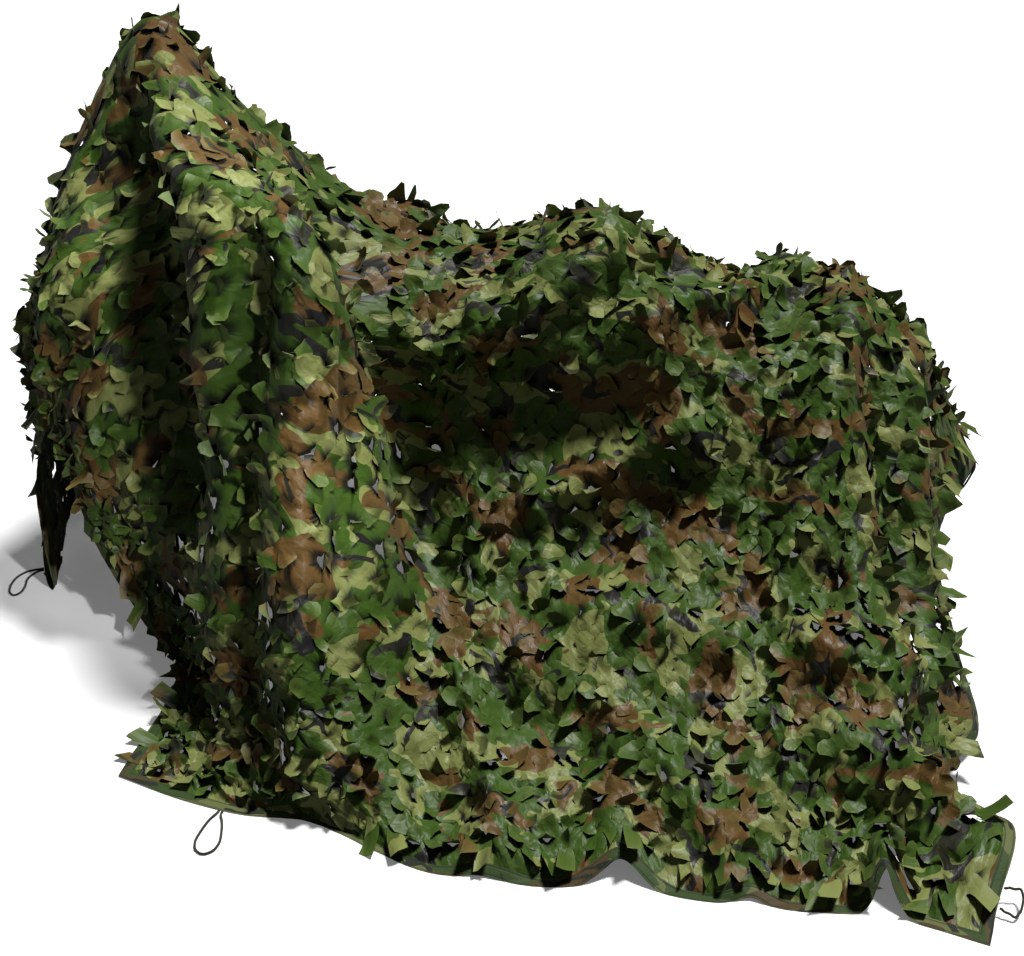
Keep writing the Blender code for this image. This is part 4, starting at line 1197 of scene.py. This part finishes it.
def cord_material():
    material, nodes, shader = new_material("olive_cord", roughness=0.7, sheen=0.2)
    cord = settings("cord")
    braid = place_group(nodes, cord_braid, Vector=nodes.cloth_map(), Pitch=cord.strand_pitch)
    # Painted shade between the strands of the braid.
    dark = opaque(channel * GAP_PAINTED_SHADE for channel in cord.colour)
    color = nodes.mix(braid["Gap"], opaque(cord.colour), dark)
    nodes.join(color, shader.inputs["Base Color"])
    nodes.bump(shader, braid["Height"], strength=0.8, distance=0.0007)
    return material


# ---- pieces -----------------------------------------------------------------
def fine_drape():
    """Points of the crumpled cloth at the fine steps."""
    along = np.linspace(0, 1, STEPS_LONG + 1)
    across = np.linspace(-1, 1, STEPS_WIDE + 1)
    points = np.stack([drape(np.full(len(across), place), across) for place in along])
    return crumpled(points, along, across, settings("cloth").crumple)


class CAMONET_OT_leaf_cloth(bpy.types.Operator):
    """Make the leaf-cut cloth in its panels, over the draped solid."""

    bl_idname = "camonet.leaf_cloth"
    bl_label = "Leaf cloth"

    def execute(self, context):
        cuts = LeafCuts(fine_drape(), settings("cloth"))
        cuts.cut_all()
        points, source, leaf = cuts.result()
        faces = cuts.faces.reshape(STEPS_LONG, -1, 3)
        normals = point_normals(points, faces.reshape(-1, 3))
        column, row = np.divmod(source, STEPS_WIDE + 1)
        uv = np.stack((column * STEP, row * (2 * CLOTH_HALF_WIDTH / STEPS_WIDE)), axis=1)
        material = leaf_cloth_material()
        for number, name in enumerate(PANELS):
            add_panel(name, number, points, faces, normals, uv, leaf, material)
        return {"FINISHED"}


def ring_tube(rings):
    """Points and faces of a tube through rings of points, with its ends filled."""
    count, sides = rings.shape[:2]
    faces = []
    for i in range(count - 1):
        for k in range(sides):
            a, b = i * sides + k, i * sides + (k + 1) % sides
            faces.append((a, b, b + sides))
            faces.append((a, b + sides, a + sides))
    for k in range(1, sides - 1):
        faces.append((0, k + 1, k))
        last = (count - 1) * sides
        faces.append((last, last + k, last + k + 1))
    return rings.reshape(-1, 3), np.array(faces)


def binding_strip(hem):
    """Rings of points round the folded strip of one hem, and their map."""
    coarse_edge, outward, _, normals = hem_frame(hem)
    edge = drape(*hem_line(hem, STEPS_LONG, STEPS_WIDE))
    place = np.linspace(0, 1, len(edge))
    coarse = np.linspace(0, 1, len(coarse_edge))
    out, up = (unit(np.stack([np.interp(place, coarse, line[:, k]) for k in range(3)], axis=1))
               for line in (outward, normals))
    met_end = 0 if hem in ("near", "front") else -1
    for end, met_hem in zip((0, -1), END_HEMS if hem in SIDE_HEMS else SIDE_HEMS):
        out[end] = mitre(outward[end], hem_frame(met_hem)[1][met_end])
    length = run_lengths(edge)
    ripple = sum(cloth_noise(length, length * 0, wave.size, wave.seed) * wave.height
                 for wave in BINDING_WAVES)
    thick = settings("binding").thickness / 2
    top, bottom, maps = [], [], []
    for share, swell in zip(BINDING_LINES, BINDING_SWELL):
        line = edge + out * (share * BINDING_WIDTH) + up * (ripple * share)[:, None]
        under = line - up * thick * swell
        under[:, 2] = np.maximum(under[:, 2], 0.0)
        over = line + up * thick * swell
        over[:, 2] = np.maximum(over[:, 2], under[:, 2] + thick)
        top.append(over)
        bottom.append(under)
        maps.append(np.stack((length, np.full_like(length, share * BINDING_WIDTH)), axis=1))
    # The two hems that run the other way round take their rings backwards, so
    # that the faces of all four strips look outwards.
    order = 1 if hem in ("near", "rear") else -1
    rings = np.stack(top + bottom[::-1], axis=1)[:, ::order]
    return rings, np.stack(maps + maps[::-1], axis=1)[:, ::order]


class CAMONET_OT_binding(bpy.types.Operator):
    """Sew the binding strips along the four hems."""

    bl_idname = "camonet.binding"
    bl_label = "Binding"

    def execute(self, context):
        material = binding_material()
        for hem in HEMS:
            rings, maps = binding_strip(hem)
            points, faces = ring_tube(rings)
            piece = new_mesh("strip_" + hem, points, faces, maps.reshape(-1, 2), material)
            piece.data.set_sharp_from_angle(angle=BINDING_CREASE)
            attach(piece, "root")
            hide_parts("binding_" + hem)
            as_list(HEM_PANELS[hem])
        return {"FINISHED"}


def tube_rings(path, diameter, sides):
    """Rings of points round a path, turning as little as they can."""
    ahead = unit(np.gradient(path, axis=0))
    side = unit(np.cross(ahead[0], CORD_SLANT))
    rings = []
    turns = 2 * math.pi * np.arange(sides)[:, None] / sides
    for spot, way in zip(path, ahead):
        side = unit(side - (side @ way) * way)
        round_it = np.cos(turns) * side + np.sin(turns) * np.cross(way, side)
        rings.append(spot + round_it * diameter / 2)
    return np.array(rings)


class CAMONET_OT_tie_loops(bpy.types.Operator):
    """Lay the cord tie loops where the solids have them."""

    bl_idname = "camonet.tie_loops"
    bl_label = "Tie loops"

    def execute(self, context):
        material = cord_material()
        for loop in LOOPS:
            path = smooth_route(loop_route(loop), CORD_POINTS * CORD_FINE)
            length = float(np.linalg.norm(np.diff(path, axis=0), axis=1).sum())
            rings = tube_rings(path, CORD_DIAMETER, CORD_SIDES)
            points, faces = ring_tube(rings)
            points[:, 2] = np.maximum(points[:, 2], 0.0)
            run = np.linspace(0, length, len(path))
            around = np.arange(CORD_SIDES) / CORD_SIDES
            maps = np.stack(np.meshgrid(run, around, indexing="ij"), axis=-1)
            name = "cord_" + loop.name.removeprefix("tie_loop_")
            piece = new_mesh(name, points, faces, maps.reshape(-1, 2), material)
            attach(piece, "root")
            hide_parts(loop.name)
            tuple(path[0])
        return {"FINISHED"}


# ---- stage ------------------------------------------------------------------
CAMERA_TARGET = (0.046, 0.053, 0.347)
CAMERA_DISTANCE = 4.2
CAMERA_ELEVATION = math.radians(28)
CAMERA_LENS, CAMERA_SENSOR = 66.3, 36.0        # mm
FLOOR_SIZE = 40.0
FLOOR_DROP = 0.0005          # keeps the floor clear of what lies on it
TOP_TURN = (math.radians(-3), math.radians(16), 0.0)

# Where each lamp stands and what it points at, and the angle of a spot.
FILL = ((2.4, -3.6, 2.4), (0.0, 0.0, 0.5))
FRONT, FRONT_ANGLE = ((1.1, -2.5, 2.5), (-0.42, -0.45, 0.62)), math.radians(14)
HIGH, HIGH_ANGLE = ((1.2, -2.3, 2.9), (-0.75, -0.02, 1.06)), math.radians(15)
FILL_SIZE = 2.0
SPOT_SIZE = 0.09             # radius of a spot's lamp, which softens its shadows


def add_light(name, kind, power, stand=None, turn=None, **values):
    """A light that points from its place at its target, or is turned by angles."""
    light = bpy.data.lights.new(name, kind)
    light.energy = power
    for key, value in values.items():
        setattr(light, key, value)
    lamp = bpy.data.objects.new(name, light)
    if stand:
        place, target = np.array(stand)
        lamp.location = place
        turn = Vector(target - place).to_track_quat("-Z", "Y").to_euler()
    lamp.rotation_euler = turn
    bpy.context.collection.objects.link(lamp)


class CAMONET_OT_stage(bpy.types.Operator):
    """Set the camera, the pale floor and the soft lights."""

    bl_idname = "camonet.stage"
    bl_label = "Stage"

    def execute(self, context):
        stage = settings("stage")
        scene = context.scene
        data = bpy.data.cameras.new("camera")
        data.lens = CAMERA_LENS
        data.sensor_width = CAMERA_SENSOR
        data.sensor_fit = "HORIZONTAL"
        camera = bpy.data.objects.new("camera", data)
        camera.location = (
            CAMERA_TARGET[0], CAMERA_TARGET[1] - CAMERA_DISTANCE * math.cos(CAMERA_ELEVATION),
            CAMERA_TARGET[2] + CAMERA_DISTANCE * math.sin(CAMERA_ELEVATION))
        camera.rotation_euler = (math.pi / 2 - CAMERA_ELEVATION, 0.0, 0.0)
        scene.collection.objects.link(camera)
        scene.camera = camera

        bpy.ops.mesh.primitive_plane_add(size=FLOOR_SIZE, location=(0.0, 0.0, -FLOOR_DROP))
        floor = context.object
        floor.name = "floor"
        material, nodes, shader = new_material("floor_paper", roughness=0.9, sheen=0.0)
        seen = nodes.add("ShaderNodeLightPath").outputs["Is Camera Ray"]
        dull = opaque(channel * stage.bounce for channel in stage.floor)
        nodes.join(nodes.mix(seen, dull, opaque(stage.floor)), shader.inputs["Base Color"])
        shader.inputs["Emission Color"].default_value = (1.0, 1.0, 1.0, 1.0)
        nodes.join(nodes.times(seen, stage.lift), shader.inputs["Emission Strength"])
        floor.data.materials.append(material)

        world = bpy.data.worlds.new("studio")
        world.use_nodes = True
        sky = world.node_tree.nodes["Background"]
        sky.inputs["Color"].default_value = (1.0, 1.0, 1.0, 1.0)
        surround = Nodes(world.node_tree)
        seen = surround.add("ShaderNodeLightPath").outputs["Is Camera Ray"]
        surround.join(surround.math("MAXIMUM", seen, stage.sky), sky.inputs["Strength"])
        scene.world = world
        add_light("top", "SUN", stage.top_strength, turn=TOP_TURN, angle=stage.top_spread)
        add_light("fill", "AREA", stage.fill_power, FILL, shape="RECTANGLE", size=FILL_SIZE,
                  size_y=FILL_SIZE)
        add_light("front", "SPOT", stage.front_power, FRONT, spot_size=FRONT_ANGLE,
                  spot_blend=1.0, shadow_soft_size=SPOT_SIZE)
        add_light("front_high", "SPOT", stage.high_power, HIGH, spot_size=HIGH_ANGLE,
                  spot_blend=1.0, shadow_soft_size=SPOT_SIZE)
        scene.view_settings.view_transform = "Standard"
        return {"FINISHED"}


class CAMONET_PT_panel(bpy.types.Panel):
    """Settings and pieces of the net."""

    bl_idname = "CAMONET_PT_panel"
    bl_label = "Camouflage net"
    bl_space_type = "VIEW_3D"
    bl_region_type = "UI"
    bl_category = "Camouflage net"

    def draw(self, context):
        for kind, group in SETTINGS.items():
            box = self.layout.box()
            box.label(text=kind.capitalize())
            for name in group.__annotations__:
                box.prop(settings(kind), name)
        for piece in PIECES:
            self.layout.operator(piece.bl_idname)


SETTINGS = {"cloth": ClothSettings, "binding": BindingSettings, "cord": CordSettings,
            "stage": StageSettings}
PIECES = (CAMONET_OT_stage, CAMONET_OT_tie_loops, CAMONET_OT_leaf_cloth, CAMONET_OT_binding)


def register():
    for kind, group in SETTINGS.items():
        bpy.utils.register_class(group)
        setattr(bpy.types.Scene, "camo_net_" + kind, PointerProperty(type=group))
    for piece in PIECES + (CAMONET_PT_panel,):
        bpy.utils.register_class(piece)


def unregister():
    for piece in PIECES + (CAMONET_PT_panel,):
        bpy.utils.unregister_class(piece)
    for kind, group in SETTINGS.items():
        delattr(bpy.types.Scene, "camo_net_" + kind)
        bpy.utils.unregister_class(group)


def main():
    register()
    bpy.ops.camonet.stage()
    bpy.ops.camonet.tie_loops()
    bpy.ops.camonet.leaf_cloth()
    bpy.ops.camonet.binding()


if __name__ == "__main__":
    main()
